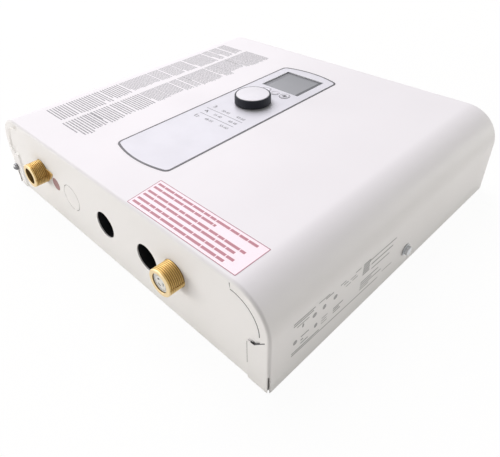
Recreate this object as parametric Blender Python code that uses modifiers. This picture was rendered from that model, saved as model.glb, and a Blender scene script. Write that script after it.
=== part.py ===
"""Wall-mounted electric tankless water heater, lying on its back as it would on a bench.

Frame: +Z points out of the wall, -Y is the bottom end with the water fittings, +X is to the right of
someone facing the front. The origin is the centre of the back panel's rear face, which sits on the wall.
Run it with blender --background --python part.py. All lengths are in metres.
"""

import math

import bmesh
import bpy
from mathutils import Matrix, Vector

# Case
CASE_WIDTH = 0.420
CASE_HEIGHT = 0.369
CASE_DEPTH = 0.0963
CORNER_RADIUS = 0.0375
EDGE_RADIUS = 0.003
SHEET = 0.0012
COVER_GAP = 0.0004
SEAT_GAP = 0.0003
CUT_OVERRUN = 0.002
COVER_FOOT = 0.0008

# Folded lips at the cover's ends
TAB_WIDTH = 0.0215
TAB_TOP = 0.046
CORNER_LIP = 0.009
FRONT_LIP = 0.0033
MITRE_INSET = 0.0147
MITRE_END = 0.0042
MITRE_GAP = 0.0009
SLIT_WIDTH = 0.0015
SLIT_LENGTH = 0.020
SLIT_REACH = 0.005

# Chassis
FLANGE_HEIGHT = 0.030
FLANGE_BEND = 0.002
WALL_CLEARANCE = 0.0018
WALL_FOOT_DEPTH = 0.008
WALL_FOOT_CLEARANCE = 0.006
RIB_X = 0.180
RIB_WIDTH = 0.014
RIB_SLOPE = 0.003
RIB_RISE = 0.003
RELIEF_WIDTH = 0.0036
RELIEF_HEIGHT = 0.0014
RELIEF_INSET = 0.0164
RELIEF_TIP = 0.0003
HANGER_X = 0.120
HANGER_Y = 0.170
HANGER_HEAD_RADIUS = 0.0052
HANGER_SLOT_RADIUS = 0.0028
HANGER_SLOT_RISE = 0.0085
FOOT_SLOT_X = 0.155
FOOT_SLOT_Y = -0.158
FOOT_SLOT_RUN = 0.004

# Cover screws
SCREW_Y = 0.008
SCREW_Z = 0.0205
SCREW_HEAD_RADIUS = 0.0048
SCREW_HEAD_HEIGHT = 0.003
SCREW_WASHER_RADIUS = 0.0062
SCREW_WASHER_HEIGHT = 0.0009
LEFT_SCREW_INSET = 0.0075
LEFT_SCREW_Z = 0.0245
LEFT_HEAD_RADIUS = 0.0042
LEFT_HEAD_HEIGHT = 0.0042
LEFT_SOCKET_RADIUS = 0.0015
LEFT_SOCKET_DEPTH = 0.0016
SCREW_SHANK_RADIUS = 0.0019
SCREW_SHANK_LENGTH = 0.0095
SCREW_HOLE_RADIUS = 0.0023
SCREW_SLOT_RADIUS = 0.0026

# Water fittings
HOT_X = -0.1248
HOT_Z = 0.0521
COLD_X = 0.104
COLD_Z = 0.053
FITTING_REACH = 0.014
THREAD_RADIUS = 0.0133
THREAD_CHAMFER = 0.0012
FITTING_BORE = 0.0095
FITTING_CLEARANCE = 0.0005
SHOULDER_RADIUS = 0.0165
SHOULDER_LENGTH = 0.007
TAIL_RADIUS = 0.011
TAIL_END = -0.150
FILTER_RADIUS = 0.0090
FILTER_RECESS = 0.0012
FILTER_LENGTH = 0.018
FILTER_WALL = 0.0012
FILTER_FACE = 0.0016
FILTER_GROOVE_RADIUS = 0.0068
FILTER_GROOVE_WIDTH = 0.0009
FILTER_SLOT_WIDTH = 0.0016
FILTER_SLOT_LENGTH = 0.0034
FILTER_SLOT_RADIUS = 0.0036
FILTER_SLOTS = 3
BRACKET_SHEET = 0.0015
BRACKET_WIDTH = 0.040
BRACKET_Y = -0.166
BRACKET_FOOT = 0.014
BRACKET_CLEARANCE = 0.0004
BRACKET_FOOT_INSET = 0.002

# Cable entries
HOLE_RADIUS = 0.0143
HOLE_1_X = -0.0019
HOLE_2_X = 0.0646
HOLE_Z = 0.0444
KNOCKOUT_X = -0.0654
KNOCKOUT_RADIUS = 0.0147
KNOCKOUT_CUT = 0.0005
KNOCKOUT_BRIDGE = math.radians(16)
KNOCKOUT_TURN = math.radians(100)
GUIDE_WALL = 0.0018
GUIDE_FLANGE = 0.0195
GUIDE_FLANGE_THICK = 0.003
GUIDE_LENGTH = 0.028

# Flow sensor and its turbine
SENSOR_END = -0.1045
SENSOR_RADIUS = 0.0135
SENSOR_COLLAR_RADIUS = 0.0145
SENSOR_COLLAR = 0.006
SENSOR_BORE = 0.0082
SPIDER_Y = -0.1110
SPIDER_THICK = 0.003
SPIDER_ARM = 0.0018
SPIDER_ARMS = 3
PIN_RADIUS = 0.0012
PIN_LENGTH = 0.022
ROTOR_Y = -0.1250
ROTOR_LENGTH = 0.012
ROTOR_HUB = 0.0032
ROTOR_TIP = 0.0074
ROTOR_CLEARANCE = 0.0003
BLADE_THICK = 0.0009
BLADE_TWIST = math.radians(48)
BLADES = 5
BLADE_SECTIONS = 4

# Flow control valve
VALVE_WIDTH = 0.030
VALVE_LENGTH = 0.034
VALVE_HEIGHT = 0.034
VALVE_BORE = 0.0068
VALVE_BEVEL = 0.002
SPINDLE_RADIUS = 0.0048
SPINDLE_CLEARANCE = 0.0003
SPINDLE_DEPTH = 0.028
SPINDLE_RISE = 0.0068
SPINDLE_PORT = 0.0034
MOTOR_RADIUS = 0.0135
MOTOR_HEIGHT = 0.0165
MOTOR_SOCKET = 0.0075
MOTOR_CROWN = 0.0015

# Heater cylinders
CYLINDER_X = (-0.152, -0.098, -0.044)
CYLINDER_Z = COLD_Z
CYLINDER_RADIUS = 0.023
CYLINDER_WALL = 0.0014
CYLINDER_BOTTOM = -0.033
CYLINDER_TOP = 0.150
DOME_RISE = 0.010
STUB_RADIUS = 0.0085
STUB_LENGTH = 0.0064
STUB_BORE = 0.0060
PORT_RADIUS = 0.0060
PORT_TOP_Y = 0.130
PORT_BOTTOM_Y = -0.010
PIPE_RADIUS = 0.0075
PIPE_BEND = 0.0135
PIPE_STRAIGHT = 0.0015
OUTLET_BEND = 0.0125
OUTLET_X = -0.190
OUTLET_TURN_Y = -0.122
HEAD_DISC = 0.006
HEAD_HEX_RADIUS = 0.0155
HEAD_HEX = 0.007
TERMINAL_RADIUS = 0.0022
TERMINAL_LENGTH = 0.008
ELEMENT_RADIUS = 0.0035
ELEMENT_SPREAD = 0.009
ELEMENT_REACH = 0.150
SADDLE_SHEET = 0.0015
SADDLE_HEIGHT = 0.047
SADDLE_MARGIN = 0.008
SADDLE_FOOT = 0.012
SADDLE_Y = (0.015, 0.100)

# Safety limiter and sensor
LIMITER_Y = 0.060
LIMITER_WIDTH = 0.028
LIMITER_LENGTH = 0.036
LIMITER_HEIGHT = 0.012
BUTTON_RADIUS = 0.0035
BUTTON_HOLE = 0.0040
BUTTON_DEPTH = 0.007
BUTTON_RISE = 0.003
BUTTON_TRAVEL = 0.0015
PROBE_Y = -0.060
PROBE_RADIUS = 0.0045
PROBE_LENGTH = 0.014

# Triac cooling block
BLOCK_X = 0.046
BLOCK_LENGTH = 0.070
BLOCK_DEPTH = 0.024
BLOCK_HEIGHT = 0.022
BLOCK_GROOVES = 3
BLOCK_GROOVE_WIDTH = 0.0022
BLOCK_GROOVE_DEPTH = 0.0016
TRIAC_WIDTH = 0.0155
TRIAC_LENGTH = 0.019
TRIAC_HEIGHT = 0.0045
TRIAC_PITCH = 0.022
TRIAC_HOLE = 0.0018

# Main board
BOARD_X = 0.102
BOARD_Y = 0.060
BOARD_WIDTH = 0.184
BOARD_LENGTH = 0.180
BOARD_THICK = 0.0016
CARRIER_THICK = 0.002
CARRIER_MARGIN = 0.004
CARRIER_POST = 0.008
CARRIER_POST_RADIUS = 0.004
POST_INSET = 0.008
RELAY_SIZE = (0.018, 0.028, 0.022)
RELAY_PITCH = 0.026
RELAYS = 3
RELAY_INSET = 0.030
CAPACITOR_RADIUS = 0.008
CAPACITOR_HEIGHT = 0.026
CAPACITOR_PITCH = 0.022
CAPACITORS = 3
CAPACITOR_INSET = 0.022
TRANSFORMER_SIZE = (0.042, 0.036, 0.032)
TRANSFORMER_COIL = (0.026, 0.048, 0.024)
TRANSFORMER_INSET = 0.034
SOCKET_X = 0.060
SOCKET_Y = 0.075
SOCKET_SIZE = (0.026, 0.011, 0.010)
SOCKET_WALL = 0.0018
PLUG_HEIGHT = 0.009
PLUG_TONGUE = 0.006

# Terminal blocks and earth bar
BLOCK_1_X = -0.002
BLOCK_2_X = 0.063
TERMINAL_Y = -0.110
TERMINAL_SIZE = (0.046, 0.028, 0.036)
TERMINAL_STEP_DEPTH = 0.010
TERMINAL_STEP_HEIGHT = 0.014
TERMINAL_WELLS = 3
WELL_RADIUS = 0.0045
WELL_DEPTH = 0.012
ENTRY_RADIUS = 0.004
EARTH_X = -0.065
EARTH_Y = -0.100
EARTH_SIZE = (0.044, 0.010, 0.008)
EARTH_SCREWS = 4
EARTH_SCREW_RADIUS = 0.0028
EARTH_SCREW_RISE = 0.003
LEAD_RADIUS = 0.0026
LEAD_BEND = 0.009
LEAD_Z = 0.024
LEAD_X = (0.014, 0.052, 0.074)
LEAD_END_Y = -0.010

# Control panel
PANEL_X = -0.0048
PANEL_Y = 0.0007
PANEL_WIDTH = 0.0800
PANEL_LENGTH = 0.2745
PANEL_BOW = 0.0070
PANEL_CORNER = 0.0065
PANEL_GAP = 0.0008
PANEL_PROUD = 0.0003
PANEL_FLANGE = 0.004
PANEL_FLANGE_THICK = 0.0016
DISPLAY_X = -0.0046
DISPLAY_Y = 0.0979
DISPLAY_WIDTH = 0.0552
DISPLAY_LENGTH = 0.0500
GLASS_GAP = 0.0003
GLASS_DEPTH = 0.0012
GLASS_THICK = 0.0010
MODULE_MARGIN = 0.004
MODULE_THICK = 0.006
CONTROL_BOARD_DROP = 0.0145
CONTROL_BOARD_WIDTH = 0.070
CONTROL_BOARD_BOTTOM = 0.010
CONTROL_BOARD_TOP = 0.131
POST_RADIUS = 0.003
POST_MARGIN = 0.004

# Knob and its encoder
KNOB_X = -0.0050
KNOB_Y = 0.0276
KNOB_RADIUS = 0.0209
KNOB_BASE_GAP = 0.0009
KNOB_HEIGHT = 0.0097
KNOB_TAPER = 0.0003
KNOB_ROUND = 0.0006
CAP_RADIUS = 0.0190
CAP_GAP = 0.0003
CAP_THICK = 0.0012
CAP_CROWN = 0.0003
KNOB_SKIRT = 0.0020
KNOB_HOLLOW = 0.0050
KNOB_BOSS = 0.0058
SHAFT_RADIUS = 0.0030
SHAFT_CLEARANCE = 0.0003
SHAFT_TOP = 0.0065
ENCODER_SIZE = 0.0140
ENCODER_HEIGHT = 0.0070
ENCODER_DEPTH = 0.0055

# Keys
KEY_X = (-0.0173, -0.0027, 0.0119)
KEY_Y = 0.0632
KEY_RADIUS = 0.0053
KEY_CLEARANCE = 0.0004
KEY_PROUD = 0.0004
KEY_TRAVEL = 0.0008
KEY_FLANGE = 0.0065
KEY_FLANGE_THICK = 0.001
KEY_STEM = 0.0022
KEY_DISH = 0.0002
SWITCH_SIZE = 0.006
SWITCH_HEIGHT = 0.0035

# Control lead
CONTROL_LEAD_RADIUS = 0.0025
CONTROL_LEAD_BEND = 0.010
CONTROL_LEAD_X = 0.012
CONTROL_LEAD_Z = 0.056

# Facets
ARC_STEPS = 10
LIP_STEPS = 9
BEND_STEPS = 2
ROUND_SIDES = 18
HOLE_SIDES = 30
KNOB_SIDES = 36
KEY_SIDES = 16
SMALL_SIDES = 12
PIPE_SIDES_SETTING = 3
BEND_POINTS = 5
SMOOTH_ANGLE = math.radians(35)
MERGE = 0.00001

# Places that follow from the sizes
HALF_WIDTH = CASE_WIDTH / 2
HALF_HEIGHT = CASE_HEIGHT / 2
CORNER_X = HALF_WIDTH - CORNER_RADIUS
CORNER_Z = CASE_DEPTH - CORNER_RADIUS
END_FACE = HALF_HEIGHT - SHEET - COVER_GAP
WALL_HALF_WIDTH = HALF_WIDTH - SHEET - WALL_CLEARANCE
WALL_CORNER = CORNER_RADIUS - SHEET - WALL_CLEARANCE
PANEL_END = END_FACE - SHEET - SEAT_GAP
FLANGE_FACE = HALF_WIDTH - SHEET - COVER_GAP
LEFT_SCREW_X = -HALF_WIDTH + LEFT_SCREW_INSET
FLOOR_Z = SHEET + SEAT_GAP
FITTING_HOLE = THREAD_RADIUS + FITTING_CLEARANCE
FITTING_TIP = -HALF_HEIGHT - FITTING_REACH
VALVE_Y = SENSOR_END + SEAT_GAP + VALVE_LENGTH / 2
VALVE_TOP = COLD_Z + VALVE_HEIGHT / 2
INLET_RUN_Y = VALVE_Y + VALVE_LENGTH / 2 + SEAT_GAP + PIPE_STRAIGHT + PIPE_BEND
FRONT_REAR = CASE_DEPTH - SHEET
CONTROL_BOARD_Z = CASE_DEPTH - CONTROL_BOARD_DROP
BOARD_Z = FLOOR_Z + CARRIER_THICK + CARRIER_POST + SEAT_GAP
BOARD_TOP = BOARD_Z + BOARD_THICK
KNOB_BASE = CASE_DEPTH + PANEL_PROUD + KNOB_BASE_GAP

WHITE_PAINT = ("white_paint", (0.86, 0.85, 0.83), 0.35, 0.0)
GREY_STEEL = ("zinc_steel", (0.60, 0.61, 0.62), 0.40, 1.0)
BRASS = ("brass", (0.72, 0.50, 0.20), 0.30, 1.0)
COPPER = ("copper", (0.72, 0.36, 0.20), 0.35, 1.0)
ALUMINIUM = ("aluminium", (0.70, 0.71, 0.72), 0.40, 1.0)
BLACK_PLASTIC = ("black_plastic", (0.02, 0.02, 0.022), 0.50, 0.0)
DARK_PLASTIC = ("dark_plastic", (0.03, 0.033, 0.04), 0.35, 0.0)
LIGHT_PLASTIC = ("light_plastic", (0.85, 0.84, 0.87), 0.40, 0.0)
GREY_PLASTIC = ("grey_plastic", (0.40, 0.41, 0.42), 0.45, 0.0)
BOARD_GREEN = ("board_green", (0.03, 0.20, 0.10), 0.40, 0.0)
DISPLAY_GREY = ("display_grey", (0.36, 0.37, 0.38), 0.15, 0.0)
RED_PLASTIC = ("red_plastic", (0.55, 0.05, 0.04), 0.40, 0.0)
LEAD_BLACK = ("lead_black", (0.02, 0.02, 0.02), 0.55, 0.0)
LEAD_GREY = ("lead_grey", (0.30, 0.31, 0.33), 0.55, 0.0)


# Scene and materials

def clear_scene():
    for obj in list(bpy.data.objects):
        bpy.data.objects.remove(obj, do_unlink=True)


def new_collection(name):
    collection = bpy.data.collections.new(name)
    bpy.context.scene.collection.children.link(collection)
    return collection


def finish_of(settings):
    """A Principled material from (name, colour, roughness, metallic), one for each piece."""
    name, colour, roughness, metallic = settings
    material = bpy.data.materials.new(name)
    material.use_nodes = True
    shader = material.node_tree.nodes["Principled BSDF"]
    shader.inputs["Base Color"].default_value = (*colour, 1.0)
    shader.inputs["Roughness"].default_value = roughness
    shader.inputs["Metallic"].default_value = metallic
    return material


def keep(obj, name, settings):
    """Names a finished piece, gives it its material and puts it with the parts."""
    obj.name = name
    obj.data.name = name
    obj.data.materials.clear()
    obj.data.materials.append(finish_of(settings))
    for collection in list(obj.users_collection):
        collection.objects.unlink(obj)
    PARTS.objects.link(obj)
    return obj


def as_cutter(obj):
    obj.hide_render = True
    obj.display_type = "WIRE"
    for collection in list(obj.users_collection):
        collection.objects.unlink(obj)
    CUTTERS.objects.link(obj)
    return obj


def combine(obj, other, operation):
    as_cutter(other)
    modifier = obj.modifiers.new(operation.lower(), "BOOLEAN")
    modifier.operation = operation
    modifier.object = other
    modifier.solver = "EXACT"
    return obj


def cut(obj, *others):
    for other in others:
        combine(obj, other, "DIFFERENCE")
    return obj


def join(obj, *others):
    for other in others:
        combine(obj, other, "UNION")
    return obj


# Basic solids

def shade_round(mesh):
    mesh.shade_smooth()
    mesh.set_sharp_from_angle(angle=SMOOTH_ANGLE)


def linked(name, data):
    obj = bpy.data.objects.new(name, data)
    bpy.context.scene.collection.objects.link(obj)
    return obj


def block(size, centre):
    """A box of the given size (x, y, z) about a centre."""
    bpy.ops.mesh.primitive_cube_add(size=1, location=centre)
    obj = bpy.context.object
    obj.data.transform(Matrix.Diagonal((*size, 1.0)))
    return obj


def block_between(low, high):
    size = [b - a for a, b in zip(low, high)]
    centre = [(a + b) / 2 for a, b in zip(low, high)]
    return block(size, centre)


def along(axis):
    """The turn that lays +Z along the named axis."""
    turns = {
        "Z": Matrix.Identity(4),
        "Y": Matrix.Rotation(-math.pi / 2, 4, "X"),
        "X": Matrix.Rotation(math.pi / 2, 4, "Y"),
    }
    return turns[axis]


def rod(radius, low, high, axis, place, sides=SMALL_SIDES):
    """A cylinder from low to high along an axis. place holds its other two coordinates, in X, Y, Z order."""
    bpy.ops.mesh.primitive_cylinder_add(vertices=sides, radius=radius, depth=high - low)
    obj = bpy.context.object
    obj.data.transform(along(axis))
    shade_round(obj.data)
    middle = (low + high) / 2
    centre = {
        "X": (middle, place[0], place[1]),
        "Y": (place[0], middle, place[1]),
        "Z": (place[0], place[1], middle),
    }
    obj.location = centre[axis]
    return obj


def turned(profile, axis, centre, sides=ROUND_SIDES, closed=True):
    """A turned shape. The profile holds (radius, height) points and runs down its outer side."""
    mesh = bpy.data.meshes.new("profile")
    points = [(radius, 0, height) for radius, height in profile]
    edges = [(i, i + 1) for i in range(len(points) - 1)]
    if closed:
        edges.append((len(points) - 1, 0))
    mesh.from_pydata(points, edges, [])
    obj = linked("turned", mesh)
    screw = obj.modifiers.new("screw", "SCREW")
    screw.axis = "Z"
    screw.steps = sides
    screw.render_steps = sides
    screw.use_merge_vertices = True
    screw.merge_threshold = MERGE
    solid = baked(obj)
    solid.data.transform(along(axis))
    solid.location = centre
    return solid


def baked(obj):
    """The object's evaluated shape as a plain mesh object with welded seams."""
    bpy.context.view_layer.update()
    graph = bpy.context.evaluated_depsgraph_get()
    mesh = bpy.data.meshes.new_from_object(obj.evaluated_get(graph))
    work = bmesh.new()
    work.from_mesh(mesh)
    bmesh.ops.remove_doubles(work, verts=work.verts, dist=MERGE)
    work.to_mesh(mesh)
    work.free()
    shade_round(mesh)
    solid = linked("solid", mesh)
    solid.matrix_world = obj.matrix_world
    bpy.data.objects.remove(obj, do_unlink=True)
    return solid


def plate(outlines, thickness):
    """A flat plate about the XY plane. The first outline is its edge and the others are holes."""
    curve = bpy.data.curves.new("plate", "CURVE")
    curve.dimensions = "2D"
    curve.fill_mode = "BOTH"
    curve.extrude = thickness / 2
    for outline in outlines:
        spline = curve.splines.new("POLY")
        spline.points.add(len(outline) - 1)
        for point, (x, y) in zip(spline.points, outline):
            point.co = (x, y, 0, 1)
        spline.use_cyclic_u = True
    return baked(linked("plate", curve))


def standing_plate(outlines, low_y, high_y):
    """A plate whose outlines hold (x, z) points, standing across Y."""
    obj = plate(outlines, high_y - low_y)
    obj.data.transform(Matrix.Rotation(math.pi / 2, 4, "X"))
    obj.location = (0, (low_y + high_y) / 2, 0)
    return obj


def arc(centre, radius, start, end, steps=ARC_STEPS):
    return [
        (
            centre[0] + radius * math.cos(start + (end - start) * i / steps),
            centre[1] + radius * math.sin(start + (end - start) * i / steps),
        )
        for i in range(steps + 1)
    ]


def circle(centre, radius, sides=ROUND_SIDES):
    return arc(centre, radius, 0, 2 * math.pi, sides)[:-1]


def rectangle(centre, width, height):
    x, y = centre
    return [
        (x - width / 2, y - height / 2),
        (x + width / 2, y - height / 2),
        (x + width / 2, y + height / 2),
        (x - width / 2, y + height / 2),
    ]


def mirrored(points):
    """The points, then their mirror images about x = 0 in the opposite order."""
    return points + [(-x, y) for x, y in reversed(points)]


def rounded_route(corners, bend):
    """A route through the corners, with each inner corner rounded to the bend radius."""
    points = [Vector(corners[0])]
    for before, corner, after in zip(corners, corners[1:], corners[2:]):
        here = Vector(corner)
        back = (Vector(before) - here).normalized()
        onward = (Vector(after) - here).normalized()
        half_angle = back.angle(onward) / 2
        setback = bend / math.tan(half_angle)
        centre = here + (back + onward).normalized() * bend / math.sin(half_angle)
        outward = (here + back * setback - centre).normalized()
        turn = math.pi - 2 * half_angle
        for step in range(BEND_POINTS + 1):
            angle = turn * step / BEND_POINTS
            points.append(centre + bend * (outward * math.cos(angle) - back * math.sin(angle)))
    points.append(Vector(corners[-1]))
    return points


def tube(points, radius, sides_setting=PIPE_SIDES_SETTING):
    """A round bar along the points. sides_setting is the curve's bevel resolution."""
    curve = bpy.data.curves.new("tube", "CURVE")
    curve.dimensions = "3D"
    curve.bevel_depth = radius
    curve.bevel_resolution = sides_setting
    curve.use_fill_caps = True
    spline = curve.splines.new("POLY")
    spline.points.add(len(points) - 1)
    for point, place in zip(spline.points, points):
        point.co = (*place, 1)
    return baked(linked("tube", curve))


def bevelled(obj, width):
    modifier = obj.modifiers.new("bevel", "BEVEL")
    modifier.width = width
    modifier.segments = 2
    modifier.limit_method = "ANGLE"
    return obj


# Chassis

def wall_outline():
    """The end wall's edge, seen from the end: flat foot, straight sides and rounded front corners."""
    corner = arc((CORNER_X, CORNER_Z), WALL_CORNER, 0, math.pi / 2)
    return mirrored([(WALL_HALF_WIDTH, 0)] + corner)


def relief_slots():
    """A wedge of a hole beside each mitre, narrowing towards the middle of the wall."""
    slots = []
    for side in (-1, 1):
        outer = side * (HALF_WIDTH - RELIEF_INSET + RELIEF_WIDTH / 2)
        inner = outer - side * RELIEF_WIDTH
        tip_z = TAB_TOP + RELIEF_HEIGHT
        wedge = [
            (outer, TAB_TOP),
            (outer, TAB_TOP + RELIEF_HEIGHT),
            (inner, tip_z + RELIEF_TIP),
            (inner, tip_z),
        ]
        slots.append(wedge)
    return slots


def knockout_slots():
    """Two thin arcs that leave a pressed blank hanging on two bridges."""
    slots = []
    for half in range(2):
        start = KNOCKOUT_TURN + half * math.pi + KNOCKOUT_BRIDGE / 2
        end = KNOCKOUT_TURN + (half + 1) * math.pi - KNOCKOUT_BRIDGE / 2
        centre = (KNOCKOUT_X, HOLE_Z)
        outer = arc(centre, KNOCKOUT_RADIUS + KNOCKOUT_CUT / 2, start, end)
        inner = arc(centre, KNOCKOUT_RADIUS - KNOCKOUT_CUT / 2, start, end)
        slots.append(outer + inner[::-1])
    return slots


def wall_foot(inner_y, outward):
    """The folded foot that ties an end wall to the back panel."""
    far = inner_y - outward * WALL_FOOT_DEPTH
    start = inner_y + outward * SHEET / 2
    half = RIB_X - RIB_WIDTH / 2 - RIB_SLOPE - WALL_FOOT_CLEARANCE
    low = (-half, min(start, far), FLOOR_Z)
    high = (half, max(start, far), FLOOR_Z + SHEET)
    return block_between(low, high)


def bottom_end_wall():
    holes = [
        circle((HOT_X, HOT_Z), FITTING_HOLE, HOLE_SIDES),
        circle((COLD_X, COLD_Z), FITTING_HOLE, HOLE_SIDES),
        circle((HOLE_1_X, HOLE_Z), HOLE_RADIUS, HOLE_SIDES),
        circle((HOLE_2_X, HOLE_Z), HOLE_RADIUS, HOLE_SIDES),
    ]
    holes.append(circle((LEFT_SCREW_X, LEFT_SCREW_Z), SCREW_HOLE_RADIUS, SMALL_SIDES))
    outlines = [wall_outline()] + holes + knockout_slots() + relief_slots()
    wall = standing_plate(outlines, -END_FACE, -END_FACE + SHEET)
    join(wall, wall_foot(-END_FACE + SHEET, -1))
    return keep(wall, "bottom_end_wall", WHITE_PAINT)


def top_end_wall():
    wall = standing_plate([wall_outline()] + relief_slots(), END_FACE - SHEET, END_FACE)
    join(wall, wall_foot(END_FACE - SHEET, 1))
    return keep(wall, "top_end_wall", WHITE_PAINT)


def hanger_outline(side):
    """A keyhole: a round way in for a screw head, and a narrower slot above it."""
    x = side * HANGER_X
    low = (x, HANGER_Y - HANGER_SLOT_RISE)
    high = (x, HANGER_Y)
    meet = math.acos(HANGER_SLOT_RADIUS / HANGER_HEAD_RADIUS)
    head = arc(low, HANGER_HEAD_RADIUS, math.pi - meet, 2 * math.pi + meet, ROUND_SIDES // 2)
    slot = arc(high, HANGER_SLOT_RADIUS, 0, math.pi, SMALL_SIDES // 2)
    return head + slot


def foot_slot_outline(side):
    x = side * FOOT_SLOT_X
    left = (x - FOOT_SLOT_RUN, FOOT_SLOT_Y)
    right = (x + FOOT_SLOT_RUN, FOOT_SLOT_Y)
    quarter = math.pi / 2
    slot = arc(right, HANGER_SLOT_RADIUS, -quarter, quarter, SMALL_SIDES // 2)
    slot += arc(left, HANGER_SLOT_RADIUS, quarter, 3 * quarter, SMALL_SIDES // 2)
    return slot


def back_profile():
    """Half of the back panel's section, from the flange's top edge to the middle, on its outer side."""
    bend = arc((-FLANGE_FACE + FLANGE_BEND, FLANGE_BEND), FLANGE_BEND, math.pi, 1.5 * math.pi, BEND_STEPS)
    rib = -RIB_X
    return [
        (-FLANGE_FACE, FLANGE_HEIGHT),
        *bend,
        (rib - RIB_WIDTH / 2 - RIB_SLOPE, 0),
        (rib - RIB_WIDTH / 2, RIB_RISE),
        (rib + RIB_WIDTH / 2, RIB_RISE),
        (rib + RIB_WIDTH / 2 + RIB_SLOPE, 0),
    ]


def back_panel():
    half = back_profile()
    section = half + [(-x, z) for x, z in reversed(half)]
    panel = folded_sheet(section, -PANEL_END, PANEL_END)
    x = FLANGE_FACE - SHEET / 2
    reach = SHEET + CUT_OVERRUN
    low = (x - reach, SCREW_Y - SCREW_SLOT_RADIUS, SCREW_Z - SCREW_SLOT_RADIUS)
    high = (x + reach, SCREW_Y + SCREW_SLOT_RADIUS, FLANGE_HEIGHT + CUT_OVERRUN)
    cut(panel, block_between(low, high))
    slots = [hanger_outline(1), hanger_outline(-1), foot_slot_outline(1), foot_slot_outline(-1)]
    for outline in slots:
        cutter = plate([outline], 2 * (SHEET + CUT_OVERRUN))
        cut(panel, cutter)
    return keep(panel, "back_panel", WHITE_PAINT)


def folded_sheet(section, low_y, high_y):
    """A sheet with a constant (x, z) section, thickened towards the inside of the fold."""
    mesh = bpy.data.meshes.new("sheet")
    points = [(x, y, z) for y in (low_y, high_y) for x, z in section]
    count = len(section)
    faces = [(i, i + 1, count + i + 1, count + i) for i in range(count - 1)]
    mesh.from_pydata(points, [], faces)
    obj = linked("sheet", mesh)
    thicken(obj)
    return baked(obj)


def thicken(obj, inward=1):
    solid = obj.modifiers.new("solid", "SOLIDIFY")
    solid.thickness = SHEET
    solid.offset = inward
    solid.use_even_offset = True
    return obj


# Cover

def cover_section(inset):
    """The cover's section moved inwards: (x, z) points from one foot over the front to the other."""
    radius = CORNER_RADIUS - inset
    left = arc((-CORNER_X, CORNER_Z), radius, math.pi, math.pi / 2)
    right = arc((CORNER_X, CORNER_Z), radius, math.pi / 2, 0)
    foot = HALF_WIDTH - inset
    return [(-foot, COVER_FOOT)] + left + right + [(foot, COVER_FOOT)]


def cover_rows():
    """(inset, y) for each row of the cover's surface, from the lip at one end to the lip at the other."""
    rows = [(TAB_WIDTH, -HALF_HEIGHT)]
    for step in range(BEND_STEPS + 1):
        turn = math.pi / 2 * (1 - step / BEND_STEPS)
        inset = EDGE_RADIUS * (1 - math.cos(turn))
        rows.append((inset, -HALF_HEIGHT + EDGE_RADIUS * (1 - math.sin(turn))))
    return rows + [(inset, -y) for inset, y in reversed(rows)]


def lip_opening():
    """What is cut out of each end's lip: the room between the tabs, and the mitre beside each tab."""
    lip_x = HALF_WIDTH - CORNER_LIP
    mitre_end = (HALF_WIDTH - MITRE_END, TAB_TOP + MITRE_INSET - MITRE_END)
    shift = MITRE_GAP * math.sqrt(0.5)
    mitre_back = (mitre_end[0] - shift, mitre_end[1] + shift)
    corner = arc((CORNER_X, CORNER_Z), CORNER_RADIUS - CORNER_LIP, 0, math.pi / 2, LIP_STEPS)
    half = [
        (HALF_WIDTH - TAB_WIDTH, -CUT_OVERRUN),
        (HALF_WIDTH - TAB_WIDTH, TAB_TOP),
        (HALF_WIDTH - MITRE_INSET, TAB_TOP),
        mitre_end,
        mitre_back,
        (lip_x, mitre_back[1] - (mitre_back[0] - lip_x)),
        *corner,
        (CORNER_X, CASE_DEPTH - FRONT_LIP),
    ]
    return mirrored(half)


def corner_slit(side, end):
    """The slit that a bender leaves at the foot of a folded corner."""
    reach = EDGE_RADIUS * (1 - math.sqrt(0.5))
    height = SLIT_LENGTH + CUT_OVERRUN
    slit = block((SLIT_WIDTH, SLIT_REACH, height), (0, 0, 0))
    slit.data.transform(Matrix.Rotation(-side * end * math.pi / 4, 4, "Z"))
    z = SLIT_LENGTH - height / 2
    slit.location = (side * (HALF_WIDTH - reach), end * (HALF_HEIGHT - reach), z)
    return slit


def tab_slot():
    """The open slot in one tab's foot, which slips off under the left screw's head."""
    low = (LEFT_SCREW_X - SCREW_SLOT_RADIUS, -HALF_HEIGHT - CUT_OVERRUN, -CUT_OVERRUN)
    high = (LEFT_SCREW_X + SCREW_SLOT_RADIUS, -END_FACE - COVER_GAP / 2, LEFT_SCREW_Z + SCREW_SLOT_RADIUS)
    return block_between(low, high)


def cover():
    mesh = bpy.data.meshes.new("cover")
    rows = cover_rows()
    points = []
    for inset, y in rows:
        points += [(x, y, z) for x, z in cover_section(inset)]
    count = len(points) // len(rows)
    faces = []
    for row in range(len(rows) - 1):
        for i in range(count - 1):
            a = row * count + i
            faces.append((a, a + 1, a + count + 1, a + count))
    mesh.from_pydata(points, [], faces)
    shell = linked("cover", mesh)
    thicken(shell, -1)
    shell = baked(shell)
    lip_depth = SHEET + CUT_OVERRUN
    for end in (-1, 1):
        outer = end * (HALF_HEIGHT + CUT_OVERRUN)
        inner = end * (HALF_HEIGHT - lip_depth / 2 - SHEET / 2)
        cut(shell, standing_plate([lip_opening()], min(outer, inner), max(outer, inner)))
        for side in (-1, 1):
            cut(shell, corner_slit(side, end))
    cutter = plate([panel_outline(0)], 2 * (SHEET + CUT_OVERRUN))
    cutter.location = (PANEL_X, PANEL_Y, CASE_DEPTH)
    cut(shell, cutter)
    cut(shell, rod(SCREW_HOLE_RADIUS, FLANGE_FACE, HALF_WIDTH + CUT_OVERRUN, "X", (SCREW_Y, SCREW_Z)))
    cut(shell, tab_slot())
    return keep(shell, "cover", WHITE_PAINT)


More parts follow.
